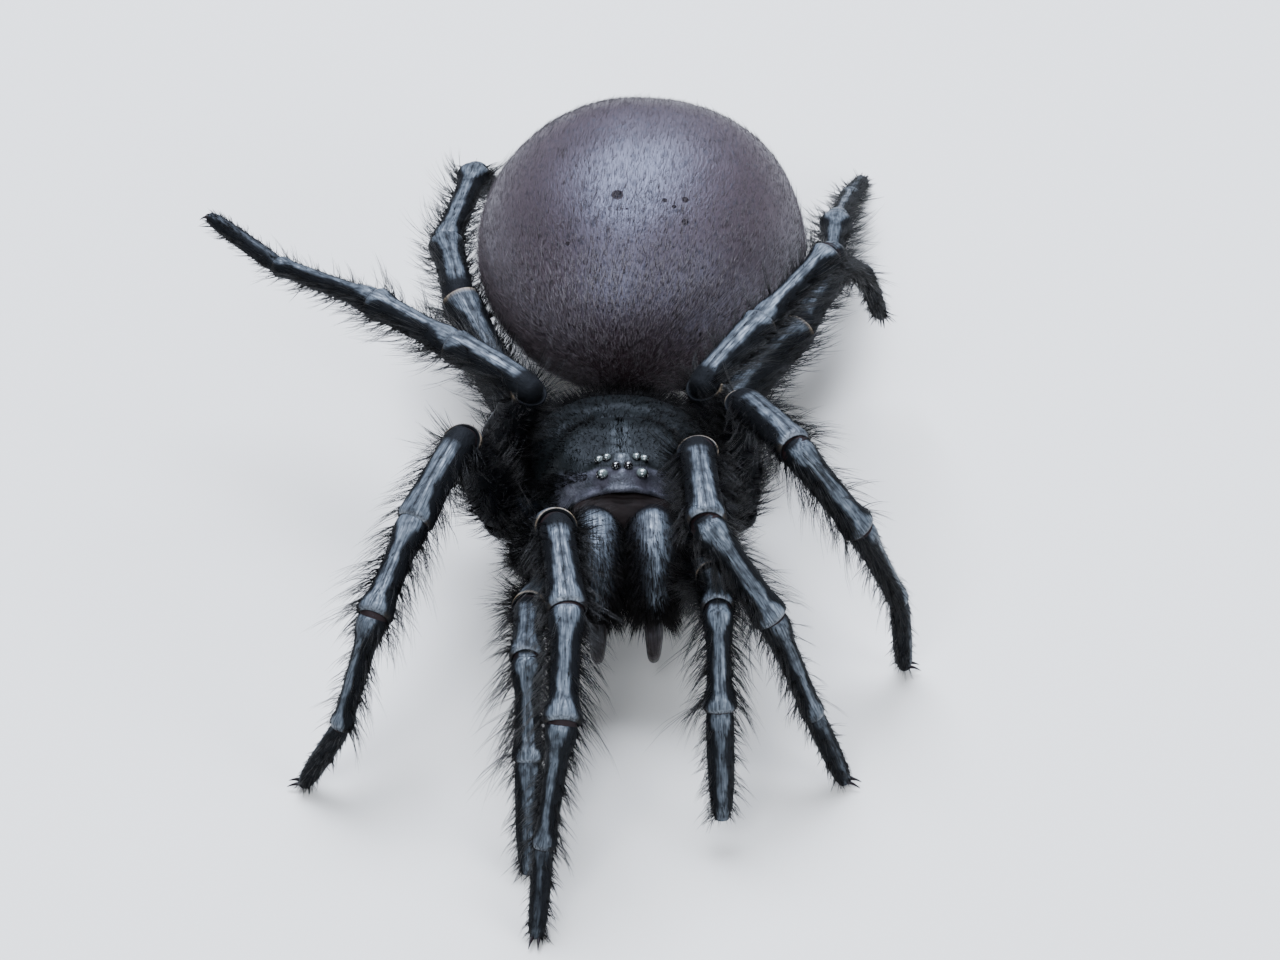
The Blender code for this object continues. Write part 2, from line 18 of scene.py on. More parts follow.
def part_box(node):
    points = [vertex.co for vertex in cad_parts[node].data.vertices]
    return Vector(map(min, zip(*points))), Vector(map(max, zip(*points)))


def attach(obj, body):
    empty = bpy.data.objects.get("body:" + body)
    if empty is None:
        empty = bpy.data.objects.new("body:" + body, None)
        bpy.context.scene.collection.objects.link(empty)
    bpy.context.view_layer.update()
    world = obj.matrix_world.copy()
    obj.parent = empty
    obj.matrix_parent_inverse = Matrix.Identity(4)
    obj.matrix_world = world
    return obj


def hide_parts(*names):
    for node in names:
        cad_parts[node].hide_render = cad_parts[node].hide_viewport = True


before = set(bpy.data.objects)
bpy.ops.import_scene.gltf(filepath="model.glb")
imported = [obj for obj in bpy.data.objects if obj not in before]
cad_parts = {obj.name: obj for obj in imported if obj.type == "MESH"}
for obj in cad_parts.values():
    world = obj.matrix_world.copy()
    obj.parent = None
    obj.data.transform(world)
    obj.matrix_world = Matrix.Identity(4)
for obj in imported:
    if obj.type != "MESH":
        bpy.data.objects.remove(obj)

LOG = logging.getLogger("spider")
MM = 0.001
Place = tuple[float, float, float]
Rows = tuple[tuple[float, float], ...]
Knots = tuple[tuple[float, float, float], ...]
Spots = tuple[tuple[float, float, float, float], ...]
Source = bpy.types.Node | bpy.types.NodeSocket | float | tuple[float, ...]
BODY = "root"
LEG_SLOT = "hairy_black_leg"
JAW_SLOT = "brown_black_jaw"


class Side(Enum):
    """Which side of the animal a piece is on."""

    LEFT = 1.0
    RIGHT = -1.0

    @property
    def word(self) -> str:
        """Returns: the side as it is written in a node's name."""
        return self.name.lower()


def linear(hex_colour: str) -> tuple[float, float, float, float]:
    """Turns an sRGB hex colour to the linear values that a shader takes.

    Args:
        hex_colour: six hex digits, with or without a leading #.

    Returns:
        Linear red, green and blue with an alpha of 1.
    """
    digits = hex_colour.lstrip("#")
    channels = [int(digits[i : i + 2], 16) / 255 for i in (0, 2, 4)]
    red, green, blue = [c / 12.92 if c <= 0.04045 else ((c + 0.055) / 1.055) ** 2.4 for c in channels]
    return red, green, blue, 1.0


def grain(size_mm: float) -> float:
    """Gives the scale of a noise or cell texture whose features are as wide as asked.

    Args:
        size_mm: width of one feature in millimetres.

    Returns:
        The texture's scale on coordinates in metres.
    """
    return 1.0 / (size_mm * MM)


# Settings that several nodes share
COLOURS = {"data_type": "RGBA"}
TIMES = {"operation": "MULTIPLY"}
TIMES_PLUS = {"operation": "MULTIPLY_ADD"}
LARGER = {"operation": "MAXIMUM"}


def feed(node: bpy.types.Node, **sockets: Source) -> None:
    """Sets or links the inputs of a node.

    Args:
        node: the node.
        sockets: inputs by name, with _ for a space, or in_N for the Nth input. A socket is linked, a node is linked
            by its first output in use, and any other value is set.
    """
    for name, value in sockets.items():
        socket = node.inputs[int(name[3:])] if name.startswith("in_") else node.inputs[name.replace("_", " ")]
        if isinstance(value, bpy.types.Node):
            value = next(output for output in value.outputs if output.enabled)
        if isinstance(value, bpy.types.NodeSocket):
            node.id_data.links.new(value, socket)
        else:
            socket.default_value = value


def add_node(
    tree: bpy.types.NodeTree, kind: str, settings: dict | None = None, **sockets: Source
) -> bpy.types.Node:
    """Adds one node with its settings, constants and links.

    Args:
        tree: the material's node tree.
        kind: the node's type name, without the leading ShaderNode.
        settings: properties of the node by name.
        sockets: its inputs, as feed takes them.

    Returns:
        The new node.
    """
    node = tree.nodes.new("ShaderNode" + kind)
    for name, value in (settings or {}).items():
        setattr(node, name, value)
    feed(node, **sockets)
    return node


def new_material(name: str) -> tuple[bpy.types.Material, bpy.types.NodeTree, bpy.types.Node]:
    """Makes a material with one Principled shader.

    Args:
        name: the material's name.

    Returns:
        The material, its node tree and the shader node.
    """
    material = bpy.data.materials.new(name)
    material.use_nodes = True
    return material, material.node_tree, material.node_tree.nodes["Principled BSDF"]


@dataclass(frozen=True)
class Chitin:
    """Polished cuticle under a thin waxed skin.

    It is near black. Where it is bare it has a wet, blotched gloss and a pale bluish colour painted on as a
    highlight, drawn out in fine streaks along the limb; on fangs and claws that colour is their own dark red. Under
    hair it is dull and returns almost no light.
    """

    name: str
    slot: str
    deep: str = "#020203"
    worn: str = "#08090b"
    # Pale colour of the bare band: a painted highlight on the legs, jaws and shield; on fangs and claws their own
    # dark red.
    bloom: str = "#4f5861"
    rim: str = "#7d6f5c"
    tint: str = "#e6effa"
    bare_roughness: float = 0.22
    haired_roughness: float = 0.6
    bare_gloss: float = 0.9
    haired_gloss: float = 0.1
    # How much of the gloss and of the painted highlight stays in the streaks' troughs and outside the wet blotches.
    thin_bloom: tuple[float, float] = (0.32, 0.36)
    scratch_mm: float = 0.09
    streak_mm: float = 0.075
    streak_stretch: float = 0.09
    blotch_mm: float = 0.48
    cloud_mm: float = 1.6
    swell_depth_mm: float = 0.05
    line_depth_mm: float = 0.02

    def build(self) -> bpy.types.Material:
        """Returns: the cuticle's material."""
        material, tree, shader = new_material(self.name)
        place = add_node(tree, "TexCoord").outputs["Object"]
        lie = add_node(tree, "Attribute", {"attribute_name": "lie"}).outputs["Vector"]
        bare = add_node(tree, "Attribute", {"attribute_name": "bare"}).outputs["Fac"]
        rim = add_node(tree, "Attribute", {"attribute_name": "rim"}).outputs["Fac"]
        drawn = add_node(tree, "Mapping", Vector=lie, Scale=(1.0, 1.0, self.streak_stretch))
        cloud = add_node(tree, "TexNoise", Vector=place, Scale=grain(self.cloud_mm), Detail=4.0)
        fine = add_node(tree, "TexNoise", Vector=place, Scale=grain(self.scratch_mm), Detail=3.0)
        streak = add_node(tree, "TexNoise", Vector=drawn, Scale=grain(self.streak_mm), Detail=3.0)
        streak = add_node(tree, "MapRange", Value=streak, From_Min=0.36, From_Max=0.6)
        wet = add_node(tree, "TexNoise", Vector=place, Scale=grain(self.blotch_mm), Detail=3.0)
        wet = add_node(tree, "MapRange", Value=wet, From_Min=0.34, From_Max=0.62)
        lined = add_node(tree, "MapRange", Value=streak, To_Min=self.thin_bloom[0], To_Max=1.0)
        pooled = add_node(tree, "MapRange", Value=wet, To_Min=self.thin_bloom[1], To_Max=1.0)
        # The bare band's share raises the gloss and mixes in the bare colour, which is a painted highlight.
        gloss_and_highlight_share = add_node(tree, "Math", TIMES, in_0=bare, in_1=lined)
        gloss_and_highlight_share = add_node(tree, "Math", TIMES, in_0=gloss_and_highlight_share, in_1=pooled)
        # On leg segments a worn pale far edge; on the shield's front lip a painted highlight.
        edge_wear_and_highlight = add_node(tree, "Math", TIMES, in_0=rim, in_1=pooled)
        shade = add_node(tree, "Mix", COLOURS, in_0=cloud, in_6=linear(self.deep), in_7=linear(self.worn))
        with_painted_highlight = add_node(tree, "Mix", COLOURS, in_0=gloss_and_highlight_share, in_6=shade, in_7=linear(self.bloom))
        edged = add_node(tree, "Mix", COLOURS, in_0=edge_wear_and_highlight, in_6=with_painted_highlight, in_7=linear(self.rim))
        matt = add_node(tree, "MapRange", Value=gloss_and_highlight_share, To_Min=self.haired_roughness, To_Max=self.bare_roughness)
        scratched = add_node(tree, "Math", TIMES_PLUS, in_0=fine, in_1=0.18, in_2=matt)
        gloss = add_node(tree, "MapRange", Value=gloss_and_highlight_share, To_Min=self.haired_gloss, To_Max=self.bare_gloss)
        line_depth = self.line_depth_mm * MM
        swell = add_node(tree, "Bump", Strength=0.35, Distance=self.swell_depth_mm * MM, Height=wet)
        lines = add_node(tree, "Bump", Strength=0.5, Distance=line_depth, Height=streak, Normal=swell)
        bump = add_node(tree, "Bump", Strength=0.3, Distance=line_depth, Height=fine, Normal=lines)
        feed(shader, Base_Color=edged, Roughness=scratched, Specular_IOR_Level=gloss, Normal=bump)
        feed(shader, IOR=1.56, Specular_Tint=linear(self.tint))
        return material


@dataclass(frozen=True)
class Velvet:
    """The abdomen's soft skin under a close nap of short hair.

    It is plum brown with a bluish silky sheen on top, streaked from front to rear, and has a few dark dimples where
    muscles are tied to the skin inside.
    """

    name: str = "abdomen_velvet"
    slot: str = "plum_velvet"
    deep: str = "#0e090b"
    mid: str = "#3b3033"
    # Painted shade for the lower front, where the abdomen curves under.
    low: str = "#1c1012"
    pit: str = "#07050a"
    tint: str = "#cbd9fa"
    gleam: float = 0.65
    dull_gleam: float = 0.05
    nap_mm: float = 0.1
    fleck_mm: float = 0.21
    cloud_mm: float = 2.6
    fur_depth_mm: float = 0.05
    streak_depth_mm: float = 0.02
    dent_depth_mm: float = 0.12
    dimples: Spots = ()

    def build(self) -> bpy.types.Material:
        """Returns: the velvet skin's material."""
        material, tree, shader = new_material(self.name)
        place = add_node(tree, "TexCoord").outputs["Object"]
        lie = add_node(tree, "Attribute", {"attribute_name": "lie"}).outputs["Vector"]
        under = add_node(tree, "Attribute", {"attribute_name": "under"}).outputs["Fac"]
        freckled = add_node(tree, "Attribute", {"attribute_name": "freckled"}).outputs["Fac"]
        drawn = add_node(tree, "Mapping", Vector=lie, Scale=(1.0, 1.0, 0.22))
        nap = add_node(tree, "TexNoise", Vector=drawn, Scale=grain(self.nap_mm), Detail=4.0)
        short = add_node(tree, "Mapping", Vector=lie, Scale=(1.0, 1.0, 0.5))
        fleck = add_node(tree, "TexNoise", Vector=short, Scale=grain(self.fleck_mm), Detail=1.5)
        cloud = add_node(tree, "TexNoise", Vector=place, Scale=grain(self.cloud_mm), Detail=3.0)
        patchy = add_node(tree, "MapRange", Value=fleck, From_Min=0.3, From_Max=0.46)
        tone = add_node(tree, "Math", TIMES, in_0=patchy, in_1=0.4)
        tone = add_node(tree, "Math", TIMES_PLUS, in_0=nap, in_1=0.6, in_2=tone)
        tone = add_node(tree, "Math", TIMES_PLUS, in_0=cloud, in_1=0.3, in_2=tone)
        speck = add_node(tree, "MapRange", Value=patchy, To_Min=0.5, To_Max=0.0)
        speck = add_node(tree, "Math", TIMES, in_0=speck, in_1=freckled)
        pits = self.pits(tree, place)
        marked = add_node(tree, "Math", LARGER, in_0=pits, in_1=speck)
        shade = add_node(tree, "Mix", COLOURS, in_0=tone, in_6=linear(self.deep), in_7=linear(self.mid))
        dimpled = add_node(tree, "Mix", COLOURS, in_0=marked, in_6=shade, in_7=linear(self.pit))
        # Painted shade: the lower front, where the abdomen curves under, is darkened to the low colour and its
        # gloss is dulled.
        dark = add_node(tree, "Mix", COLOURS, in_0=under, in_6=dimpled, in_7=linear(self.low))
        rough = add_node(tree, "MapRange", Value=patchy, To_Min=0.56, To_Max=0.45)
        dull = add_node(tree, "Math", LARGER, in_0=marked, in_1=under)
        gleam = add_node(tree, "MapRange", Value=dull, To_Min=self.gleam, To_Max=self.dull_gleam)
        depths = [depth * MM for depth in (self.fur_depth_mm, self.streak_depth_mm, self.dent_depth_mm)]
        fur = add_node(tree, "Bump", Strength=0.5, Distance=depths[0], Height=nap)
        streak = add_node(tree, "Bump", Strength=0.15, Distance=depths[1], Height=patchy, Normal=fur)
        dent = add_node(
            tree, "Bump", {"invert": True}, Strength=0.8, Distance=depths[2], Height=pits, Normal=streak
        )
        feed(shader, Base_Color=dark, Roughness=rough, Specular_IOR_Level=gleam, Normal=dent)
        feed(shader, IOR=1.5, Specular_Tint=linear(self.tint))
        return material

    def pits(self, tree: bpy.types.NodeTree, place: bpy.types.NodeSocket) -> bpy.types.Node | float:
        """Masks the dimples.

        Args:
            tree: the material's node tree.
            place: where the shaded point is.

        Returns:
            The node that gives 1 inside a dimple, or 0 where there are none.
        """
        mask = 0.0
        for x, y, z, radius in self.dimples:
            gap = add_node(tree, "VectorMath", {"operation": "DISTANCE"}, in_0=place, in_1=(x * MM, y * MM, z * MM))
            edge = {"From_Min": radius * 0.75 * MM, "From_Max": radius * 1.2 * MM, "To_Min": 1.0, "To_Max": 0.0}
            spot = add_node(tree, "MapRange", Value=gap.outputs["Value"], **edge)
            mask = add_node(tree, "Math", LARGER, in_0=mask, in_1=spot)
        return mask


@dataclass(frozen=True)
class Membrane:
    """Bare folded skin at a joint: dull leather, dark red-brown."""

    name: str = "joint_membrane"
    slot: str = LEG_SLOT
    fold: str = "#050304"
    crest: str = "#1b0a0c"
    fold_mm: float = 0.3
    fold_depth_mm: float = 0.05

    def build(self) -> bpy.types.Material:
        """Returns: the membrane's material."""
        material, tree, shader = new_material(self.name)
        place = add_node(tree, "TexCoord").outputs["Object"]
        folds = add_node(tree, "TexNoise", Vector=place, Scale=grain(self.fold_mm), Detail=4.0)
        # Darker where the fold noise sinks, the same noise as the bump: painted shade in the creases.
        shade = add_node(tree, "Mix", COLOURS, in_0=folds, in_6=linear(self.fold), in_7=linear(self.crest))
        bump = add_node(tree, "Bump", Strength=0.5, Distance=self.fold_depth_mm * MM, Height=folds)
        feed(shader, Base_Color=shade, Normal=bump, Roughness=0.68, Specular_IOR_Level=0.25, IOR=1.4)
        return material


@dataclass(frozen=True)
class Lens:
    """An eye's clear cuticle: the hardest, brightest gloss on the animal.

    The six outer eyes have a pale mirror layer behind the lens, shown only on the cap that faces up and forward,
    so that pale cap is partly the layer and partly a painted highlight. The middle front pair are black.
    """

    name: str = "eye_lens"
    slot: str = "eye_glass"
    black: str = "#050406"
    # Pale cap colour: partly the mirror layer, partly a painted highlight.
    pearl: str = "#5f6866"
    depth_mm: float = 0.25

    def build(self) -> bpy.types.Material:
        """Returns: the lens's material."""
        material, tree, shader = new_material(self.name)
        place = add_node(tree, "TexCoord").outputs["Object"]
        depth = add_node(tree, "TexNoise", Vector=place, Scale=grain(self.depth_mm), Detail=2.0)
        pearly = add_node(tree, "Attribute", {"attribute_name": "pearly"}).outputs["Fac"]
        milky = add_node(tree, "MapRange", Value=depth, To_Min=0.55, To_Max=1.0)
        share = add_node(tree, "Math", TIMES, in_0=pearly, in_1=milky)
        shade = add_node(tree, "Mix", COLOURS, in_0=share, in_6=linear(self.black), in_7=linear(self.pearl))
        feed(shader, Base_Color=shade, Roughness=0.04, IOR=1.6, Coat_Weight=1.0, Coat_Roughness=0.02)
        return material


@dataclass(frozen=True)
class Bristle:
    """Fine hollow hair of cuticle: near black, a little paler in patches, with a silky gleam along it."""

    name: str
    slot: str
    root: str = "#020202"
    tip: str = "#0b0a0a"
    roughness: float = 0.5
    gloss: float = 0.1
    patch_mm: float = 0.7

    def build(self) -> bpy.types.Material:
        """Returns: the bristle's material."""
        material, tree, shader = new_material(self.name)
        place = add_node(tree, "TexCoord").outputs["Object"]
        patch = add_node(tree, "TexNoise", Vector=place, Scale=grain(self.patch_mm), Detail=3.0)
        spread = add_node(tree, "MapRange", Value=patch, From_Min=0.3, From_Max=0.7)
        shade = add_node(tree, "Mix", COLOURS, in_0=spread, in_6=linear(self.root), in_7=linear(self.tip))
        feed(shader, Base_Color=shade, Roughness=self.roughness, Specular_IOR_Level=self.gloss, IOR=1.55)
        return material


@dataclass(frozen=True)
class StudioFloor:
    """Pale matt paper, swept flat: an even ground that shows the outline and a soft shadow."""

    name: str = "studio_paper"
    slot: str = ""
    paper: str = "#d2cfc9"

    def build(self) -> bpy.types.Material:
        """Returns: the floor's material."""
        material, _, shader = new_material(self.name)
        feed(shader, Base_Color=linear(self.paper), Roughness=0.9)
        return material


class Finish(Protocol):
    """What each finish has: a material's name, a slot name and a way to build it."""

    name: str
    slot: str

    def build(self) -> bpy.types.Material:
        """Returns: the finish's material."""


class Finishes:
    """Every finish, built once."""

    def __init__(self, dimples: Spots) -> None:
        """Lists the finishes.

        Args:
            dimples: place and radius of each dark dimple on the abdomen, in millimetres.
        """
        self.shell = Chitin(
            "carapace_chitin",
            "glossy_black_shell",
            deep="#020303",
            worn="#070a09",
            # Bare colour on the shield: a painted highlight on the midline streak and the front lip.
            bloom="#20282a",
            haired_roughness=0.5,
            haired_gloss=0.11,
            # Rim colour on the shield: a painted highlight on the front lip.
            rim="#5f5c68",
            blotch_mm=0.45,
        )
        self.leg = Chitin("leg_chitin", LEG_SLOT)
        # The jaws' bare colour is a painted highlight along their tops.
        self.jaw = Chitin("jaw_chitin", JAW_SLOT, deep="#030203", worn="#0b080a", bloom="#5c656e")
        self.fang = Chitin(
            "fang_chitin",
            "dark_red_fang",
            deep="#060202",
            worn="#120504",
            bloom="#140605",
            bare_roughness=0.24,
            haired_roughness=0.35,
            bare_gloss=0.4,
        )
        self.velvet = Velvet(dimples=dimples)
        self.spinner_skin = Velvet("spinneret_skin", mid="#241c1d", gleam=0.1)
        self.membrane = Membrane()
        self.face_skin = Membrane("face_skin", JAW_SLOT, fold="#060404", crest="#1c1211")
        self.lens = Lens()
        self.leg_hair = Bristle("leg_bristle", LEG_SLOT)
        self.fringe = Bristle("leg_fringe", LEG_SLOT, tip="#0d0c0b", roughness=0.36, gloss=0.24)
        self.spine = Bristle("leg_spine", LEG_SLOT, root="#060607", tip="#17171a", roughness=0.25)
        self.nap = Bristle("abdomen_nap", "plum_velvet", root="#100b0d", tip="#42373a", gloss=0.42, patch_mm=0.16)
        self.jaw_hair = Bristle("jaw_bristle", JAW_SLOT, tip="#0f0c0b")
        self.built: dict[str, bpy.types.Material] = {}

    def coat(self, thing: bpy.types.Object, finish: Finish) -> None:
        """Gives an object its material, which is built at its first use.

        Args:
            thing: a piece, or a solid that is carried over.
            finish: one of this class's finishes.
        """
        if finish.name not in self.built:
            self.built[finish.name] = finish.build()
        thing.data.materials.clear()
        thing.data.materials.append(self.built[finish.name])

    def dress(self, piece: bpy.types.Object, finish: Finish) -> None:
        """Gives a piece its finish.

        Args:
            piece: the object to dress.
            finish: one of this class's finishes.
        """
        self.coat(piece, finish)


def smooth(low: float, high: float, value: np.ndarray | float) -> np.ndarray | float:
    """Eases from 0 at low to 1 at high.

    Args:
        low: where the step starts; it may be above high for a step down.
        high: where the step ends.
        value: where to read it.

    Returns:
        The eased value.
    """
    t = np.clip((np.asarray(value, dtype=float) - low) / (high - low), 0.0, 1.0)
    return t * t * (3 - 2 * t)


def curve_through(knots: np.ndarray, values: np.ndarray, at: np.ndarray) -> np.ndarray:
    """Runs a smooth curve through values, with no overshoot between level neighbours.

    Args:
        knots: rising places of the values.
        values: one row per knot.
        at: places to read.

    Returns:
        One row per place.
    """
    knots = np.asarray(knots, dtype=float)
    values = np.asarray(values, dtype=float).reshape(len(knots), -1)
    steps = np.diff(knots)[:, None]
    rise = np.diff(values, axis=0) / steps
    slopes = np.zeros_like(values)
    slopes[0], slopes[-1] = rise[0], rise[-1]
    before, after = rise[:-1], rise[1:]
    level = before * after <= 0
    mean = 2 * before * after / np.where(level, 1.0, before + after)
    slopes[1:-1] = np.where(level, 0.0, mean)
    at = np.clip(at, knots[0], knots[-1])
    index = np.clip(np.searchsorted(knots, at, side="right") - 1, 0, len(knots) - 2)
    width = steps[index]
    t = ((at - knots[index])[:, None]) / width
    low, high = values[index], values[index + 1]
    return (
        (2 * t**3 - 3 * t**2 + 1) * low
        + (t**3 - 2 * t**2 + t) * width * slopes[index]
        + (3 * t**2 - 2 * t**3) * high
        + (t**3 - t**2) * width * slopes[index + 1]
    )


def unit(rows: np.ndarray, least: float = 0.0) -> np.ndarray:
    """Scales directions to a length of one.

    Args:
        rows: directions along the last axis.
        least: a length below which a direction stays shorter than one.

    Returns:
        The scaled directions.
    """
    return rows / np.maximum(np.linalg.norm(rows, axis=-1, keepdims=True), least)


def ring_angles(count: int) -> np.ndarray:
    """Returns: the angles of a closed ring of points."""
    return np.arange(count) * math.tau / count


def make_mesh(
    name: str, points: np.ndarray, faces: np.ndarray, corners: np.ndarray | None = None
) -> bpy.types.Object:
    """Makes a smooth-shaded mesh object from arrays, with nothing below the floor.

    Args:
        name: the object's name.
        points: vertex places in millimetres, one row each.
        faces: vertex numbers, one row of three or four per face.
        corners: a place on the bake map for each face corner, if the piece has one.

    Returns:
        The new object, riding on the body.
    """
    mesh = bpy.data.meshes.new(name)
    faces = np.asarray(faces, dtype=np.int32)
    points = np.concatenate([points[:, :2], np.maximum(points[:, 2:], 0.0)], axis=1)
    mesh.vertices.add(len(points))
    mesh.vertices.foreach_set("co", (np.asarray(points, dtype=np.float32) * MM).ravel())
    mesh.loops.add(faces.size)
    mesh.loops.foreach_set("vertex_index", faces.ravel())
    mesh.polygons.add(len(faces))
    mesh.polygons.foreach_set("loop_start", np.arange(0, faces.size, faces.shape[1], dtype=np.int32))
    if corners is not None:
        layer = mesh.uv_layers.new(name="OFBake")
        layer.data.foreach_set("uv", corners.astype(np.float32).ravel())
    mesh.update(calc_edges=True)
    mesh.validate()
    mesh.shade_smooth()
    piece = bpy.data.objects.new(name, mesh)
    bpy.context.scene.collection.objects.link(piece)
    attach(piece, BODY)
    return piece


def tag(piece: bpy.types.Object, name: str, values: np.ndarray) -> None:
    """Stores one number or one direction for each vertex, for the material to read.

    Args:
        piece: the mesh object.
        name: the attribute's name.
        values: one row per vertex, of one number or three.
    """
    kind, field_name = ("FLOAT_VECTOR", "vector") if values.shape[1] == 3 else ("FLOAT", "value")
    layer = piece.data.attributes.new(name, kind, "POINT")
    layer.data.foreach_set(field_name, values.astype(np.float32).ravel())


def unrolled(grid: np.ndarray, start: float) -> np.ndarray:
    """Gives each point of a tube its place around and along the tube, so that a texture can run lengthwise.

    Args:
        grid: ring by side by 3, in millimetres.
        start: where the length is counted from.

    Returns:
        Two coordinates around the tube and one along it, in metres.
    """
    centre = grid.mean(axis=1)
    gone = np.concatenate([[0.0], np.cumsum(np.linalg.norm(np.diff(centre, axis=0), axis=1))]) + start
    girth = np.linalg.norm(grid - centre[:, None], axis=2).mean(axis=1)[:, None]
    turn = ring_angles(grid.shape[1])[None]
    return np.stack([girth * np.cos(turn), girth * np.sin(turn), gone[:, None] + 0 * turn], axis=-1) * MM


def tube_faces(rings: int, sides: int) -> np.ndarray:
    """Gives the faces of a tube whose two ends are drawn to a point by their own rings.

    Args:
        rings: how many rings of vertices.
        sides: vertices in each ring.

    Returns:
        Rows of four vertex numbers.
    """
    ring, side = np.meshgrid(np.arange(rings - 1), np.arange(sides), indexing="ij")
    near = ring * sides + side
    near_next = ring * sides + (side + 1) % sides
    return np.stack([near, near_next, near_next + sides, near + sides], axis=-1).reshape(-1, 4)


@dataclass
class Pieces:
    """Grid surfaces gathered into one mesh."""

    points: list[np.ndarray] = field(default_factory=list)
    faces: list[np.ndarray] = field(default_factory=list)
    tags: dict[str, list[np.ndarray]] = field(default_factory=dict)
    count: int = 0

    def add(self, grid: np.ndarray, lie: np.ndarray | None = None, **tags: np.ndarray) -> None:
        """Adds one tube of rings.

        Args:
            grid: ring by side by 3, in millimetres.
            lie: the texture's coordinates, with its length third, in metres. A tube is unrolled without it.
            tags: one value per vertex by name, of the grid's shape.
        """
        rings, sides = grid.shape[:2]
        self.points.append(grid.reshape(-1, 3))
        self.faces.append(tube_faces(rings, sides) + self.count)
        lie = unrolled(grid, float(self.count)) if lie is None else lie
        self.tags.setdefault("lie", []).append(lie.reshape(-1, 3))
        for name, values in tags.items():
            self.tags.setdefault(name, []).append(np.broadcast_to(values, (rings, sides)).reshape(-1, 1))
        self.count += rings * sides

    def build(self, name: str) -> bpy.types.Object:
        """Makes the one mesh.

        Args:
            name: the object's name.

        Returns:
            The new object.
        """
        piece = make_mesh(name, np.concatenate(self.points), np.concatenate(self.faces))
        for label, values in self.tags.items():
            tag(piece, label, np.concatenate(values))
        return piece


@dataclass
class Coat:
    """Hairs gathered into one mesh, each a tapered three-sided spike rooted in the skin."""

    sections: int = 2
    taper: float = 0.75
    patch: tuple[float, float] = (0.001, 0.003)
    batches: list[tuple[np.ndarray, ...]] = field(default_factory=list)

    def add(
        self,
        roots: np.ndarray,
        aims: np.ndarray,
        bends: np.ndarray,
        lengths: np.ndarray,
        widths: np.ndarray,
        places: np.ndarray,
    ) -> None:
        """Adds hairs.

        Args:
            roots: where each hair leaves the skin, in millimetres.
            aims: its direction at the root.
            bends: how far its tip curls away, as a share of its length.
            lengths: its length in millimetres.
            widths: its half width at the root in millimetres.
            places: its root's place on an unwrap of the skin, 0 to 1.
        """
        self.batches.append((roots, aims, bends, lengths[:, None], widths[:, None], places))

    def template(self) -> np.ndarray:
        """Returns: the triangles of one hair, closed at its root and drawn to a point."""
        rows = [(0, 2, 1)]
        for k in range(self.sections - 1):
            for corner in range(3):
                a, b = 3 * k + corner, 3 * k + (corner + 1) % 3
                rows += [(a, b, b + 3), (a, b + 3, a + 3)]
        last = 3 * (self.sections - 1)
        rows += [(last + c, last + (c + 1) % 3, last + 3) for c in range(3)]
        return np.array(rows)

    def build(self, name: str) -> bpy.types.Object:
        """Makes the one mesh.

        Args:
            name: the object's name.

        Returns:
            The new object.
        """
        roots, aims, bends, lengths, widths, places = (np.concatenate(rows) for rows in zip(*self.batches))
        aims = unit(aims)
        helper = np.where(np.abs(aims[:, 2:3]) < 0.9, [[0.0, 0.0, 1.0]], [[1.0, 0.0, 0.0]])
        across = unit(np.cross(aims, helper))
        over = np.cross(aims, across)
        verts, shifts = [], []
        for k in range(self.sections):
            share = k / self.sections
            centre = roots + lengths * (share * aims + share**2 * bends)
            wide = widths * (1 - self.taper * share)
            for corner in range(3):
                angle = math.tau * corner / 3
                verts.append(centre + wide * (math.cos(angle) * across + math.sin(angle) * over))
                shifts.append((self.patch[0] * corner, self.patch[1] * share))
        verts.append(roots + lengths * (aims + bends))
        shifts.append(self.patch)
        template = self.template()
        starts = np.arange(len(roots))[:, None, None] * len(verts)
        spots = places[:, None, None, :] + np.array(shifts)[template][None]
        points = np.stack(verts, axis=1).reshape(-1, 3)
        return make_mesh(name, points, (starts + template).reshape(-1, 3), np.clip(spots, 0.0, 1.0).reshape(-1, 2))


@dataclass
class Stance:
    """How the body is held, and where it stands in the frame."""

    height: float = 4.6
    head_up: float = 4.0
    abdomen_centre: Place = (1.4, 13.7, 7.7)
    abdomen_yaw: float = -9.0
    abdomen_nose_up: float = 3.0
    shift: np.ndarray = field(default_factory=lambda: np.zeros(3))

    def prosoma(self) -> Matrix:
        """Returns: the matrix from the body frame to the frame, in millimetres."""
        lift = Matrix.Translation(Vector(self.shift) + Vector((0, 0, self.height)))
        return lift @ Matrix.Rotation(math.radians(-self.head_up), 4, "X")

    def abdomen(self) -> Matrix:
        """Returns: the matrix from the abdomen's own frame to the frame, in millimetres."""
        tip, yaw = math.radians(-self.abdomen_nose_up), math.radians(self.abdomen_yaw)
        turn = Euler((tip, 0, yaw), "XYZ").to_matrix().to_4x4()
        return Matrix.Translation(Vector(self.shift) + Vector(self.abdomen_centre)) @ turn


def moved(matrix: Matrix, points: np.ndarray) -> np.ndarray:
    """Carries points through a matrix.

    Args:
        matrix: a four by four matrix.
        points: rows of three numbers, in any shape.

    Returns:
        The points carried over, in the same shape.
    """
    grid = np.array(matrix)
    return points @ grid[:3, :3].T + grid[:3, 3]


def turned(matrix: Matrix, directions: np.ndarray) -> np.ndarray:
    """Turns directions by a matrix, without its shift.

    Args:
        matrix: a four by four matrix.
        directions: rows of three numbers.

    Returns:
        The turned directions.
    """
    return directions @ np.array(matrix)[:3, :3].T


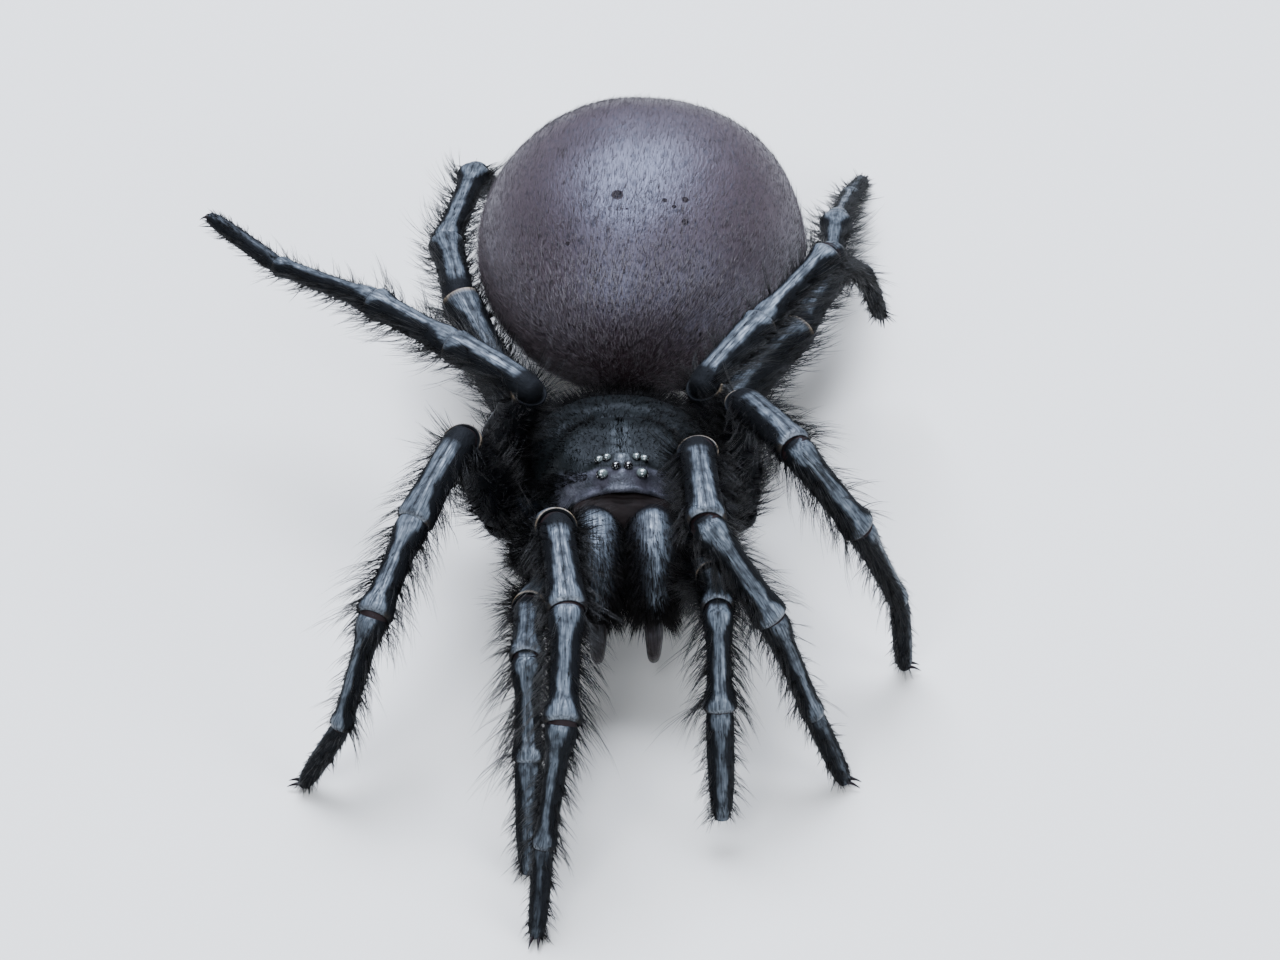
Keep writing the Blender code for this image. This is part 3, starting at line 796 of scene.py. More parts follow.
@dataclass
class Abdomen:
    """The domed abdomen with its nap, and the waist.

    The solid_ sizes are those of the solid that the form replaces, which place() lays it over. A dimple is a place
    from -1 at the front to 1 at the rear, an angle from the left side upward, and a radius in millimetres.
    """

    stance: Stance
    half_length: float = 8.6
    half_width: float = 7.7
    top: float = 6.7
    bottom: float = 6.0
    rear_bulge: float = 0.11
    solid_sides: int = 28
    solid_rings: int = 18
    solid_end_angle: float = 8.0
    sides: int = 200
    rings: int = 150
    skin_depth: float = 0.06
    root_depth: float = 0.09
    heart_line_depth: float = 0.08
    under_facing: tuple[float, float] = (0.75, 0.66)
    freckles: tuple[float, float, float, float] = (-0.66, 0.24, math.pi / 2, 0.7)
    nap_count: int = 40000
    nap_length: float = 0.6
    nap_width: tuple[float, float] = (0.009, 0.015)
    nap_bend: float = 0.2
    nap_ends: float = 0.9999
    whorl: Place = (0.0, -6.6, -4.6)
    waist_front: Place = (0.0, 3.95, 0.0)
    waist_rear: float = -0.8
    dimples: Knots = (
        (-0.46, 1.66, 0.25),
        (-0.42, 1.18, 0.15),
        (-0.54, 1.12, 0.16),
        (-0.46, 1.32, 0.12),
        (-0.48, 1.24, 0.1),
        (-0.54, 1.58, 0.08),
        (-0.68, 2.1, 0.11),
    )
    seed: int = 5

    def surface(self, along: np.ndarray, around: np.ndarray, inflate: float | np.ndarray = 0.0) -> np.ndarray:
        """Gives points of the abdomen in its own frame.

        Args:
            along: -1 at the front to 1 at the rear.
            around: angle from the left side, upward.
            inflate: millimetres added outward.

        Returns:
            Points in millimetres, of the arguments' shape with 3 more.
        """
        girth = np.sqrt(np.clip(1 - along * along, 0, None)) * (1 + self.rear_bulge * along)
        rise = np.sin(around)
        half_height = np.where(rise > 0, self.top, self.bottom)
        return np.stack(
            [
                (self.half_width + inflate) * girth * np.cos(around),
                (self.half_length + inflate) * along + 0 * around,
                (half_height + inflate) * girth * rise,
            ],
            axis=-1,
        )

    def place(self) -> np.ndarray:
        """Finds how far the solids' own origin is from the body's, by laying this form over its node.

        Returns:
            The shift in millimetres.
        """
        ring, side = np.meshgrid(np.arange(self.solid_rings + 1), np.arange(self.solid_sides), indexing="ij")
        swept = 180 - 2 * self.solid_end_angle
        along = -np.cos(np.radians(self.solid_end_angle + swept * ring / self.solid_rings))
        points = moved(self.stance.abdomen(), self.surface(along, math.tau * side / self.solid_sides))
        points = points.reshape(-1, 3)
        low, high = (np.array(corner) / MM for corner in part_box("abdomen"))
        return (low + high) / 2 - (points.min(axis=0) + points.max(axis=0)) / 2

    def dimple_places(self) -> Spots:
        """Returns: place and radius of each dimple, in millimetres."""
        found = []
        for along, around, radius in self.dimples:
            point = moved(self.stance.abdomen(), self.surface(np.array(along), np.array(around)))
            found.append((*(float(value) for value in point), radius))
        return tuple(found)

    def relief(self, along: np.ndarray, around: np.ndarray) -> np.ndarray:
        """Gives the soft unevenness of the skin.

        Args:
            along: -1 at the front to 1 at the rear.
            around: angle from the left side, upward.

        Returns:
            Millimetres outward.
        """
        waves = 0.04 * np.sin(7 * along + 1.3 * np.sin(2 * around)) * np.cos(3 * around + 1.0)
        waves += 0.02 * np.sin(13 * along + 2.0 * around)
        top = np.exp(-(((around - math.pi / 2) / 0.1) ** 2))
        heart = -self.heart_line_depth * top * smooth(-0.9, -0.3, along) * smooth(0.8, 0.2, along)
        return (waves + heart) * (1 - along**8)

    def outward(self, points: np.ndarray) -> np.ndarray:
        """Gives the outward direction at points of the surface.

        Args:
            points: rows of places in the abdomen's own frame.

        Returns:
            Rows of unit directions.
        """
        scale = np.empty_like(points)
        scale[..., 0], scale[..., 1] = self.half_width, self.half_length
        scale[..., 2] = np.where(points[..., 2] > 0, self.top, self.bottom)
        return unit(points / scale**2)

    def build(self, finishes: Finishes) -> None:
        """Builds the skin, the nap and the waist.

        Args:
            finishes: the materials.
        """
        frame_matrix = self.stance.abdomen()
        angles = np.linspace(0, math.pi, self.rings)
        along, around = np.meshgrid(-np.cos(angles), ring_angles(self.sides), indexing="ij")
        grid = self.surface(along, around, self.relief(along, around) - self.skin_depth)
        skin = Pieces()
        # under marks the lower front, where the abdomen curves under, for a painted shade.
        rearward, upward = self.under_facing
        facing = grid[..., 1] / self.half_length * rearward + grid[..., 2] / self.top * upward
        middle, reach, angle, spread = self.freckles
        off = ((along - middle) / reach) ** 2 + ((around - angle) / spread) ** 2
        skin.add(moved(frame_matrix, grid), under=smooth(-0.3, -1.0, facing), freckled=np.exp(-off))
        piece = skin.build("abdomen_skin")
        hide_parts("abdomen")
        finishes.dress(piece, finishes.velvet)
        self.nap(frame_matrix, finishes, "abdomen_nap_front", (-self.nap_ends, 0.0))
        self.nap(frame_matrix, finishes, "abdomen_nap_rear", (0.0, self.nap_ends))
        self.waist(frame_matrix, finishes)

    def waist(self, frame_matrix: Matrix, finishes: Finishes) -> None:
        """Builds the narrow haired waist that joins the abdomen to the shield.

        Args:
            frame_matrix: the abdomen's frame.
            finishes: the materials.
        """
        front = moved(self.stance.prosoma(), np.array(self.waist_front))
        rear = moved(frame_matrix, self.surface(np.array(self.waist_rear), np.array(-math.pi / 2)))
        rng = np.random.default_rng(self.seed)
        piece = haired_skin("pedicel", [Segment(front, rear, WAIST)], rng, finishes)
        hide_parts("pedicel")

    def nap(self, frame_matrix: Matrix, finishes: Finishes, name: str, span: tuple[float, float]) -> None:
        """Builds the short hair of one end, which lies away from the waist and back along the abdomen.

        Args:
            frame_matrix: the abdomen's frame.
            finishes: the materials.
            name: the piece's name.
            span: where it starts and ends, from -1 at the front to 1 at the rear.
        """
        rng = np.random.default_rng(self.seed + int(span[1]))
        count = self.nap_count
        along = rng.uniform(*span, count)
        around = rng.uniform(0, math.tau, count)
        root = self.surface(along, around, self.relief(along, around) - self.root_depth)
        normal = self.outward(root)
        away = root - np.array(self.whorl)
        away = unit(away - normal * np.sum(away * normal, axis=1, keepdims=True), 0.4)
        swirl = np.cross(normal, away) * rng.normal(0, 0.16, (count, 1))
        side = smooth(0.5, -0.3, normal[:, 2])[:, None]
        stand = rng.uniform(0.2, 0.55, (count, 1)) + side * rng.uniform(0.0, 0.5, (count, 1))
        long = np.where(rng.uniform(0, 1, count) < 0.1 + 0.14 * side[:, 0], 1.9, 1.0)
        coat = Coat(sections=1)
        coat.add(
            moved(frame_matrix, root),
            turned(frame_matrix, away + swirl + normal * stand),
            turned(frame_matrix, -normal * self.nap_bend),
            self.nap_length * long * rng.uniform(0.6, 1.2, count),
            rng.uniform(*self.nap_width, count),
            np.stack([around / math.tau * 0.99, 0.5 + along * 0.49], axis=1),
        )
        finishes.dress(coat.build(name), finishes.nap)
        LOG.info("%s: %d hairs", name, count)


@dataclass(frozen=True)
class SegmentPlan:
    """One length of a limb: its profile in millimetres, its bow, its bare top and its hair.

    bare is how bare the band on top is, bare_half its half width in degrees, parted how far a hair line parts it,
    late the share of the length where it starts. rim is how worn the far edge is. short and fringe are hairs and
    tufts for each millimetre.
    """

    knots: Knots
    bow: float = 0.0
    bare: float = 1.0
    bare_half: float = 30.0
    parted: float = 0.0
    late: float = -0.1
    rim: float = 0.0
    short: float = 90.0
    fringe: float = 26.0
    fringe_length: float = 1.0
    spines: int = 0


def profile(length: float, knots: Knots, scale: float) -> np.ndarray:
    """Places a segment's profile along its length.

    Args:
        length: the segment's length.
        knots: rows of (millimetres past the start, or short of the end in the far half, half width, half height).
        scale: multiplies the half sizes.

    Returns:
        Rows of (place, half width, half height), rising.
    """
    rows = []
    for i, (along, width, height) in enumerate(knots):
        from_end = i >= len(knots) // 2 and (along < 0 or (along == 0 and i > 0))
        rows.append((length + along if from_end else along, width * scale, height * scale))
    return np.array(rows)


@dataclass
class Segment:
    """One straight or slightly bowed length of a limb between two joints.

    roll turns its bare band about its length, in degrees, and start_flare and end_flare are how much wider the
    band is at the joints. The closings are rings, as shares of the end's size: near ones round out by near_reach
    and far ones sink in as a socket.
    """

    start: np.ndarray
    end: np.ndarray
    plan: SegmentPlan
    scale: float = 1.0
    roll: float = 0.0
    sides: int = 36
    rings: int = 26
    start_flare: float = 22.0
    end_flare: float = 28.0
    band_fade: tuple[float, float] = (7.0, 6.0)
    near_closing: tuple[float, ...] = (0.0, 0.5, 0.85)
    near_reach: float = -0.3
    far_closing: tuple[float, ...] = (0.93, 0.86, 0.0)
    far_sunk: tuple[float, ...] = (-0.03, 0.1, 0.2)
    rim_width: float = 0.13
    short_length: tuple[float, float] = (0.26, 0.5)
    short_width: tuple[float, float] = (0.012, 0.018)
    tuft_size: int = 3
    tuft_spread: float = 0.07
    long_width: tuple[float, float] = (0.011, 0.017)
    spine_width: float = 0.05

    def __post_init__(self) -> None:
        """Works out the segment's axes."""
        self.length = float(np.linalg.norm(self.end - self.start))
        self.axis = (self.end - self.start) / self.length
        side = np.cross(self.axis, [0.0, 0.0, 1.0])
        if np.linalg.norm(side) < 0.02:
            side = np.cross(self.axis, [0.0, 1.0, 0.0])
        self.side = unit(side)
        self.top = np.cross(self.side, self.axis)
        self.rows = profile(self.length, self.plan.knots, self.scale)

    def sizes(self, at: np.ndarray) -> np.ndarray:
        """Reads the half width and half height.

        Args:
            at: places along the segment in millimetres.

        Returns:
            One row of two per place.
        """
        return curve_through(self.rows[:, 0], self.rows[:, 1:], at)

    def point(self, at: np.ndarray, around: np.ndarray, inflate: float = 0.0) -> np.ndarray:
        """Gives points of the segment's surface.

        Args:
            at: places along the segment.
            around: angles from the side, with a quarter turn at the top.
            inflate: millimetres added outward.

        Returns:
            One row of three per place.
        """
        size = self.sizes(at.ravel()).reshape(at.shape + (2,)) + inflate
        bow = self.plan.bow * np.sin(np.clip(at / self.length, 0, 1) * math.pi)
        centre = self.start + at[..., None] * self.axis + bow[..., None] * self.top
        wide = (size[..., 0] * np.cos(around))[..., None] * self.side
        high = (size[..., 1] * np.sin(around))[..., None] * self.top
        return centre + wide + high

    def normal(self, around: np.ndarray) -> np.ndarray:
        """Gives the outward direction at angles around the segment.

        Args:
            around: angles from the side.

        Returns:
            One row of three per angle.
        """
        return np.cos(around)[..., None] * self.side + np.sin(around)[..., None] * self.top

    def bare_top(self, at: np.ndarray, around: np.ndarray) -> np.ndarray:
        """Marks the hairless band along the top, with a ragged edge, wider at the joints. The material glosses the
        band and paints a pale highlight on it.

        Args:
            at: places along the segment.
            around: angles from the side.

        Returns:
            1 on the band, 0 away from it.
        """
        share = at / self.length
        off = np.degrees(np.angle(np.exp(1j * (around - math.pi / 2)))) + self.roll
        phase = 3.0 * float(self.start[0] + self.start[1])
        ragged = 4 * np.sin(11 * share + phase) + 3 * np.sin(27 * share - 2 * phase + off / 9)
        half = self.plan.bare_half + self.end_flare * smooth(0.8, 0.97, share)
        half = half + self.start_flare * smooth(0.18, 0.04, share) + ragged
        outer, inner = half + self.band_fade[0], half - self.band_fade[1]
        band = smooth(outer, inner, np.abs(off)) * (0.94 + 0.1 * np.sin(8 * share + phase))
        band *= smooth(self.plan.late - 0.07, self.plan.late + 0.05, share)
        parting = self.plan.parted * np.exp(-((off / (4 + 5 * share)) ** 2)) * smooth(1.0, 0.88, share)
        return self.plan.bare * band * (1 - parting)

    def shell(self, pieces: Pieces) -> None:
        """Adds the segment's shell, with a socket sunk in its far end.

        Args:
            pieces: where the shell goes.
        """
        first, last = self.rows[0, 0], self.rows[-1, 0]
        at = first + (last - first) * (0.5 - 0.5 * np.cos(np.linspace(0, math.pi, self.rings)))
        angles = ring_angles(self.sides)
        along, around = np.meshgrid(at, angles, indexing="ij")
        near = self.closing(at[0], angles, self.near_closing, self.near_reach)
        far = self.closing(at[-1], angles, self.far_closing, 0.0, self.far_sunk)
        whole = np.concatenate([near, self.point(along, around), far])
        blank = np.zeros((len(near), self.sides))
        bare = np.concatenate([blank, self.bare_top(along, around), blank])
        edge = np.exp(-(((along - last) / self.rim_width) ** 2))
        edge = edge * smooth(-0.2, 0.7, np.sin(around)) * self.plan.rim
        pieces.add(whole, bare=bare, rim=np.concatenate([blank, edge, blank]))

    def closing(
        self,
        at: float,
        angles: np.ndarray,
        shares: tuple[float, ...],
        reach: float,
        sunk: tuple[float, ...] = (0.0, 0.0, 0.0),
    ) -> np.ndarray:
        """Gives the rings that close one end.

        Args:
            at: the end's place along the segment.
            angles: the ring's angles.
            shares: the rings' sizes against the end's.
            reach: how far past the end the rings round out.
            sunk: how far back into the segment each ring sits.

        Returns:
            Rings of points.
        """
        rings = []
        edge = self.point(np.full_like(angles, at), angles)
        middle = edge.mean(axis=0)
        for share, back in zip(shares, sunk):
            offset = self.axis * (reach * math.sqrt(max(0.0, 1 - share * share)) - back)
            rings.append(middle + (edge - middle) * share + offset)
        return np.stack(rings)

    def spot(self, at: np.ndarray, around: np.ndarray, strip: tuple[float, float]) -> np.ndarray:
        """Gives places on the limb's unwrap.

        Args:
            at: places along the segment.
            around: angles from the side.
            strip: the segment's span on the unwrap.

        Returns:
            One row of two per place.
        """
        share = strip[0] + (strip[1] - strip[0]) * np.clip(at / self.length, 0, 1)
        return np.stack([np.mod(around, math.tau) / math.tau * 0.99, share * 0.99], axis=1)

    def short_hair(self, coat: Coat, rng: np.random.Generator, strip: tuple[float, float]) -> None:
        """Adds the short dark hair that lies along the segment, except on its bare top.

        Args:
            coat: where the hairs go.
            rng: the seeded source of variation.
            strip: the segment's span on the unwrap.
        """
        count = int(self.plan.short * self.length)
        at = rng.uniform(self.rows[0, 0] + 0.1, self.rows[-1, 0] - 0.02, count)
        around = rng.uniform(0, math.tau, count)
        keep = rng.uniform(0, 1, count) > 0.96 * self.bare_top(at, around)
        at, around = at[keep], around[keep]
        count = len(at)
        stand = self.normal(around) * rng.uniform(0.25, 0.6, (count, 1))
        coat.add(
            self.point(at, around, -0.03),
            stand + self.axis + rng.normal(0, 0.16, (count, 3)),
            -self.normal(around) * 0.1,
            rng.uniform(*self.short_length, count),
            rng.uniform(*self.short_width, count),
            self.spot(at, around, strip),
        )

    def long_hair(self, coat: Coat, rng: np.random.Generator, strip: tuple[float, float]) -> None:
        """Adds the long curved hair of the sides and underside, in small tufts that close at their tips.

        Args:
            coat: where the hairs go.
            rng: the seeded source of variation.
            strip: the segment's span on the unwrap.
        """
        tufts = int(self.plan.fringe * self.length)
        at = rng.uniform(self.rows[0, 0] + 0.15, self.rows[-1, 0] - 0.05, tufts)
        turn = rng.choice([0.0, math.pi], tufts) + rng.normal(0, 0.42, tufts)
        beneath = rng.uniform(0, 1, tufts) < 0.4
        turn = np.where(beneath, rng.uniform(math.pi, math.tau, tufts), turn)
        aim = self.normal(turn) + self.axis * rng.uniform(0.35, 1.1, (tufts, 1))
        aim = aim + rng.normal(0, 0.1, (tufts, 3))
        length = self.plan.fringe_length * rng.uniform(0.55, 1.25, tufts)
        length = length * np.where(rng.uniform(0, 1, tufts) < 0.2, 1.35, 1.0)
        curl = self.axis * rng.uniform(0.1, 0.5, (tufts, 1))
        curl = curl - self.normal(turn) * rng.uniform(0.0, 0.2, (tufts, 1))
        for _ in range(self.tuft_size):
            place = at + rng.normal(0, self.tuft_spread, tufts)
            around = turn + rng.normal(0, 0.1, tufts)
            root = self.point(place, around, -0.04)
            middle = self.point(at, turn, -0.04)
            drawn = (middle - root) / length[:, None] * 0.75
            coat.add(
                root,
                aim + rng.normal(0, 0.05, (tufts, 3)),
                curl + drawn,
                length * rng.uniform(0.8, 1.1, tufts),
                rng.uniform(*self.long_width, tufts),
                self.spot(place, around, strip),
            )

    def stout_spines(self, spines: Coat, rng: np.random.Generator, strip: tuple[float, float]) -> None:
        """Adds the few stout dark spines of the underside.

        Args:
            spines: where the spines go.
            rng: the seeded source of variation.
            strip: the segment's span on the unwrap.
        """
        count = self.plan.spines
        if not count:
            return
        at = np.linspace(self.rows[0, 0] + 0.5, self.rows[-1, 0] - 0.3, count)
        at = at + rng.normal(0, 0.1, count)
        side = np.where(np.arange(count) % 2 == 0, 1.0, -1.0)
        around = -math.pi / 2 + side * rng.uniform(0.35, 1.0, count)
        spines.add(
            self.point(at, around, -0.05),
            self.normal(around) * 0.8 + self.axis * rng.uniform(0.9, 1.4, (count, 1)),
            np.tile(self.axis * 0.12, (count, 1)),
            rng.uniform(0.7, 1.0, count) * self.scale,
            np.full(count, self.spine_width),
            self.spot(at, around, strip),
        )


def haired_skin(
    name: str, segments: list[Segment], rng: np.random.Generator, finishes: Finishes
) -> bpy.types.Object:
    """Builds a soft haired piece of the rear body, as NAME_skin and NAME_hair.

    Args:
        name: the node's name.
        segments: its lengths, from the root out.
        rng: the seeded source of variation.
        finishes: the materials.

    Returns:
        The skin.
    """
    shells, coat = Pieces(), Coat(sections=2)
    for i, segment in enumerate(segments):
        strip = (i / len(segments), (i + 1) / len(segments))
        segment.shell(shells)
        segment.short_hair(coat, rng, strip)
        segment.long_hair(coat, rng, strip)
    piece = shells.build(f"{name}_skin")
    finishes.dress(piece, finishes.spinner_skin)
    finishes.dress(coat.build(f"{name}_hair"), finishes.nap)
    return piece


WAIST = SegmentPlan(
    ((-0.2, 0.68, 0.42), (0.8, 0.6, 0.44), (-0.9, 0.6, 0.44), (0.2, 0.72, 0.5)),
    bare=0,
    short=300,
    fringe=60,
    fringe_length=0.7,
)
COXA = SegmentPlan(
    ((0.0, 0.8, 0.85), (0.7, 1.0, 1.02), (-1.0, 1.08, 1.04), (-0.25, 0.9, 0.88)),
    bare=0.35,
    short=120,
    fringe=40,
    fringe_length=1.1,
)
TROCHANTER = SegmentPlan(
    ((0.0, 0.7, 0.72), (0.45, 0.98, 1.0), (0.9, 0.86, 0.88)),
    bare=0.2,
    short=120,
    fringe=40,
    fringe_length=1.1,
)
FEMUR = SegmentPlan(
    (
        (0.55, 0.66, 0.7),
        (1.3, 0.88, 1.0),
        (3.0, 0.93, 1.1),
        (-2.4, 0.86, 0.98),
        (-0.7, 0.9, 0.94),
        (-0.08, 0.9, 0.87),
    ),
    bow=0.16,
    bare=0.85,
    bare_half=22,
    parted=0.6,
    rim=1.0,
    short=120,
    fringe=46,
    fringe_length=1.5,
)
PATELLA = SegmentPlan(
    (
        (-0.25, 0.62, 0.6),
        (0.25, 0.76, 0.74),
        (1.0, 0.74, 0.78),
        (2.4, 0.74, 0.78),
        (-0.7, 0.84, 0.82),
        (-0.2, 0.88, 0.82),
        (0.0, 0.78, 0.7),
    ),
    bow=0.1,
    bare_half=29,
    parted=0.85,
    late=0.15,
    rim=0.12,
    fringe=32,
    fringe_length=1.4,
)
TIBIA = SegmentPlan(
    (
        (-0.2, 0.56, 0.54),
        (0.12, 0.74, 0.72),
        (0.4, 0.76, 0.74),
        (1.6, 0.61, 0.67),
        (-1.3, 0.62, 0.67),
        (-0.4, 0.82, 0.77),
        (-0.14, 0.84, 0.76),
        (0.0, 0.7, 0.62),
    ),
    bare_half=22,
    parted=0.6,
    rim=0.08,
    fringe=38,
    fringe_length=1.6,
    spines=4,
)
METATARSUS = SegmentPlan(
    (
        (-0.18, 0.48, 0.46),
        (0.1, 0.66, 0.64),
        (0.34, 0.67, 0.65),
        (1.5, 0.46, 0.52),
        (-0.9, 0.43, 0.47),
        (-0.26, 0.54, 0.52),
        (0.0, 0.44, 0.42),
    ),
    bare=0.8,
    bare_half=17,
    rim=0.05,
    short=110,
    fringe=30,
    fringe_length=1.05,
    spines=8,
)
TARSUS = SegmentPlan(
    (
        (-0.12, 0.34, 0.34),
        (0.2, 0.42, 0.42),
        (0.6, 0.42, 0.45),
        (1.8, 0.42, 0.45),
        (-0.5, 0.36, 0.38),
        (-0.05, 0.26, 0.26),
    ),
    bare=0.3,
    bare_half=16,
    short=120,
    fringe=20,
    fringe_length=0.55,
    spines=4,
)
PALP_TARSUS = SegmentPlan(
    (
        (-0.2, 0.52, 0.52),
        (0.15, 0.68, 0.68),
        (0.6, 0.7, 0.71),
        (2.6, 0.66, 0.69),
        (-0.7, 0.54, 0.55),
        (-0.08, 0.34, 0.34),
    ),
    bare=0.6,
    bare_half=20,
    short=110,
    fringe=28,
    fringe_length=0.75,
)


@dataclass
class Limb:
    """A leg or palp: its joints, shells, joint skins, hair and claws.

    pose gives each length's heading and lift, and a lift of None bends it down to stand on the floor. A foot
    higher than raised_foot is off the floor.
    """

    name: str
    side: Side
    stance: Stance
    coxa_start: Place
    hip: Place
    lengths: tuple[float, ...]
    pose: tuple[tuple[float, float | None], ...]
    plans: tuple[SegmentPlan, ...]
    nodes: tuple[str, ...]
    scale: float = 1.0
    tip_clearance: float = 0.2
    roll: float = 0.0
    seed: int = 1
    clawed: bool = True
    raised_foot: float = 2.0
    claw_reach: float = 0.72
    claw_radius: float = 0.1
    claw_tip: float = 0.012
    skin_overlap: float = 0.45
    skin_shares: tuple[float, float] = (0.78, 0.88)
    skin_rings: int = 14
    skin_sides: int = 24
    skin_fold: float = 0.05

    def direction(self, heading: float, lift: float) -> np.ndarray:
        """Gives a segment's direction.

        Args:
            heading: 0 straight out from the side, 90 to the rear.
            lift: angle above the level.

        Returns:
            The direction as three numbers.
        """
        a, b = math.radians(heading), math.radians(lift)
        return np.array([self.side.value * math.cos(a) * math.cos(b), math.sin(a) * math.cos(b), math.sin(b)])

    def joints(self) -> list[np.ndarray]:
        """Returns: the joint points from the coxa's start to the tip."""
        matrix = self.stance.prosoma()
        mirror = np.array([self.side.value, 1.0, 1.0])
        points = [moved(matrix, np.array(place) * mirror) for place in (self.coxa_start, self.hip)]
        for i, (length, (heading, lift)) in enumerate(zip(self.lengths, self.pose)):
            if lift is None:
                drop = (points[-1][2] - self.tip_clearance) / sum(self.lengths[i:])
                lift = -math.degrees(math.asin(min(0.995, drop)))
            points.append(points[-1] + self.direction(heading, lift) * length)
        return points

    def segments(self) -> list[Segment]:
        """Returns: the limb's segments from the coxa out, with the trochanter over the hip."""
        points = self.joints()
        inner, outer = unit(points[1] - points[0]), unit(points[2] - points[1])
        hip_start, hip_end = points[1] - inner * 0.3 - outer * 0.15, points[1] + outer * 0.75
        found = [
            Segment(points[0], points[1], COXA, self.scale),
            Segment(hip_start, hip_end, TROCHANTER, self.scale),
        ]
        for start, end, plan in zip(points[1:], points[2:], self.plans):
            roll = 0.0 if plan in (FEMUR, PATELLA) else self.roll
            found.append(Segment(start, end, plan, self.scale, roll))
        return found

    def joint_skin(self, pieces: Pieces, before: Segment, after: Segment) -> None:
        """Adds the folded skin that joins two shells.

        Args:
            pieces: where the skin goes.
            before: the inner segment.
            after: the outer segment.
        """
        inner_at, outer_at = before.rows[-1, 0] - self.skin_overlap, after.rows[0, 0] + self.skin_overlap
        start_size = before.sizes(np.array([inner_at]))[0] * self.skin_shares[0]
        end_size = after.sizes(np.array([outer_at]))[0] * self.skin_shares[1]
        start, end = before.start + before.axis * inner_at, after.start + after.axis * outer_at
        reach = float(np.linalg.norm(end - start)) * 0.45
        share = np.linspace(0, 1, self.skin_rings)[:, None]
        bend_a, bend_b = start + before.axis * reach, end - after.axis * reach
        centre = (
            (1 - share) ** 3 * start
            + 3 * (1 - share) ** 2 * share * bend_a
            + 3 * (1 - share) * share**2 * bend_b
            + share**3 * end
        )
        side = unit(before.side * (1 - share) + after.side * share, 0.3)
        top = unit(before.top * (1 - share) + after.top * share, 0.3)
        size = start_size * (1 - share) + end_size * share
        size = size * (1 + self.skin_fold * np.sin(share * 32))
        angles = ring_angles(self.skin_sides)
        grid = (
            centre[:, None]
            + (size[:, 0:1] * np.cos(angles))[..., None] * side[:, None]
            + (size[:, 1:2] * np.sin(angles))[..., None] * top[:, None]
        )
        pieces.add(grid)

    def claws(self, last: Segment) -> Pieces:
        """Builds the two curved claws at the tip.

        Args:
            last: the tarsus.

        Returns:
            The claws' surfaces.
        """
        pieces = Pieces()
        up = np.array([0.0, 0.0, 1.0])
        ahead, drop = self.direction(self.pose[-1][0], 0.0), max(0.02, last.end[2] - 0.07)
        if last.end[2] > self.raised_foot:
            ahead, drop = last.axis * 0.85 - up * 0.25, 0.25
        share = np.linspace(0, 1, 12)[:, None]
        radius = (self.claw_radius * (1 - share) ** 0.8 + self.claw_tip)[:, :, None]
        angles = ring_angles(8)[None, :, None]
        for sign in (-1, 1):
            across = np.cross(ahead, up) * sign
            start = last.end - last.axis * 0.12 + across * 0.1
            path = start + ahead * self.claw_reach * share + across * 0.1 * share
            path = path - up * drop * share**2.2 + up * 0.12 * share * (1 - share) * 2
            ring = np.cos(angles) * unit(across) + np.sin(angles) * up
            pieces.add(path[:, None] + radius * ring, bare=np.ones(1), rim=np.zeros(1))
        return pieces

    def build(self, finishes: Finishes) -> None:
        """Builds the limb's pieces.

        Args:
            finishes: the materials.
        """
        rng = np.random.default_rng(self.seed)
        found = self.segments()
        shells, skins = Pieces(), Pieces()
        short, fringe, spines = Coat(sections=2), Coat(sections=3), Coat(sections=2)
        for i, segment in enumerate(found):
            strip = (i / len(found), (i + 1) / len(found))
            segment.shell(shells)
            segment.short_hair(short, rng, strip)
            segment.long_hair(fringe, rng, strip)
            segment.stout_spines(spines, rng, strip)
        for before, after in zip(found[2:], found[3:]):
            self.joint_skin(skins, before, after)
        shell = shells.build(self.name + "_shell")
        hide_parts(*self.nodes)
        finishes.dress(shell, finishes.leg)
        finishes.dress(skins.build(self.name + "_joint_skin"), finishes.membrane)
        finishes.dress(short.build(self.name + "_hair"), finishes.leg_hair)
        finishes.dress(fringe.build(self.name + "_fringe"), finishes.fringe)
        finishes.dress(spines.build(self.name + "_spines"), finishes.spine)
        if self.clawed:
            finishes.dress(self.claws(found[-1]).build(self.name + "_claws"), finishes.fang)
        LOG.info("%s: %d segments", self.name, len(found))


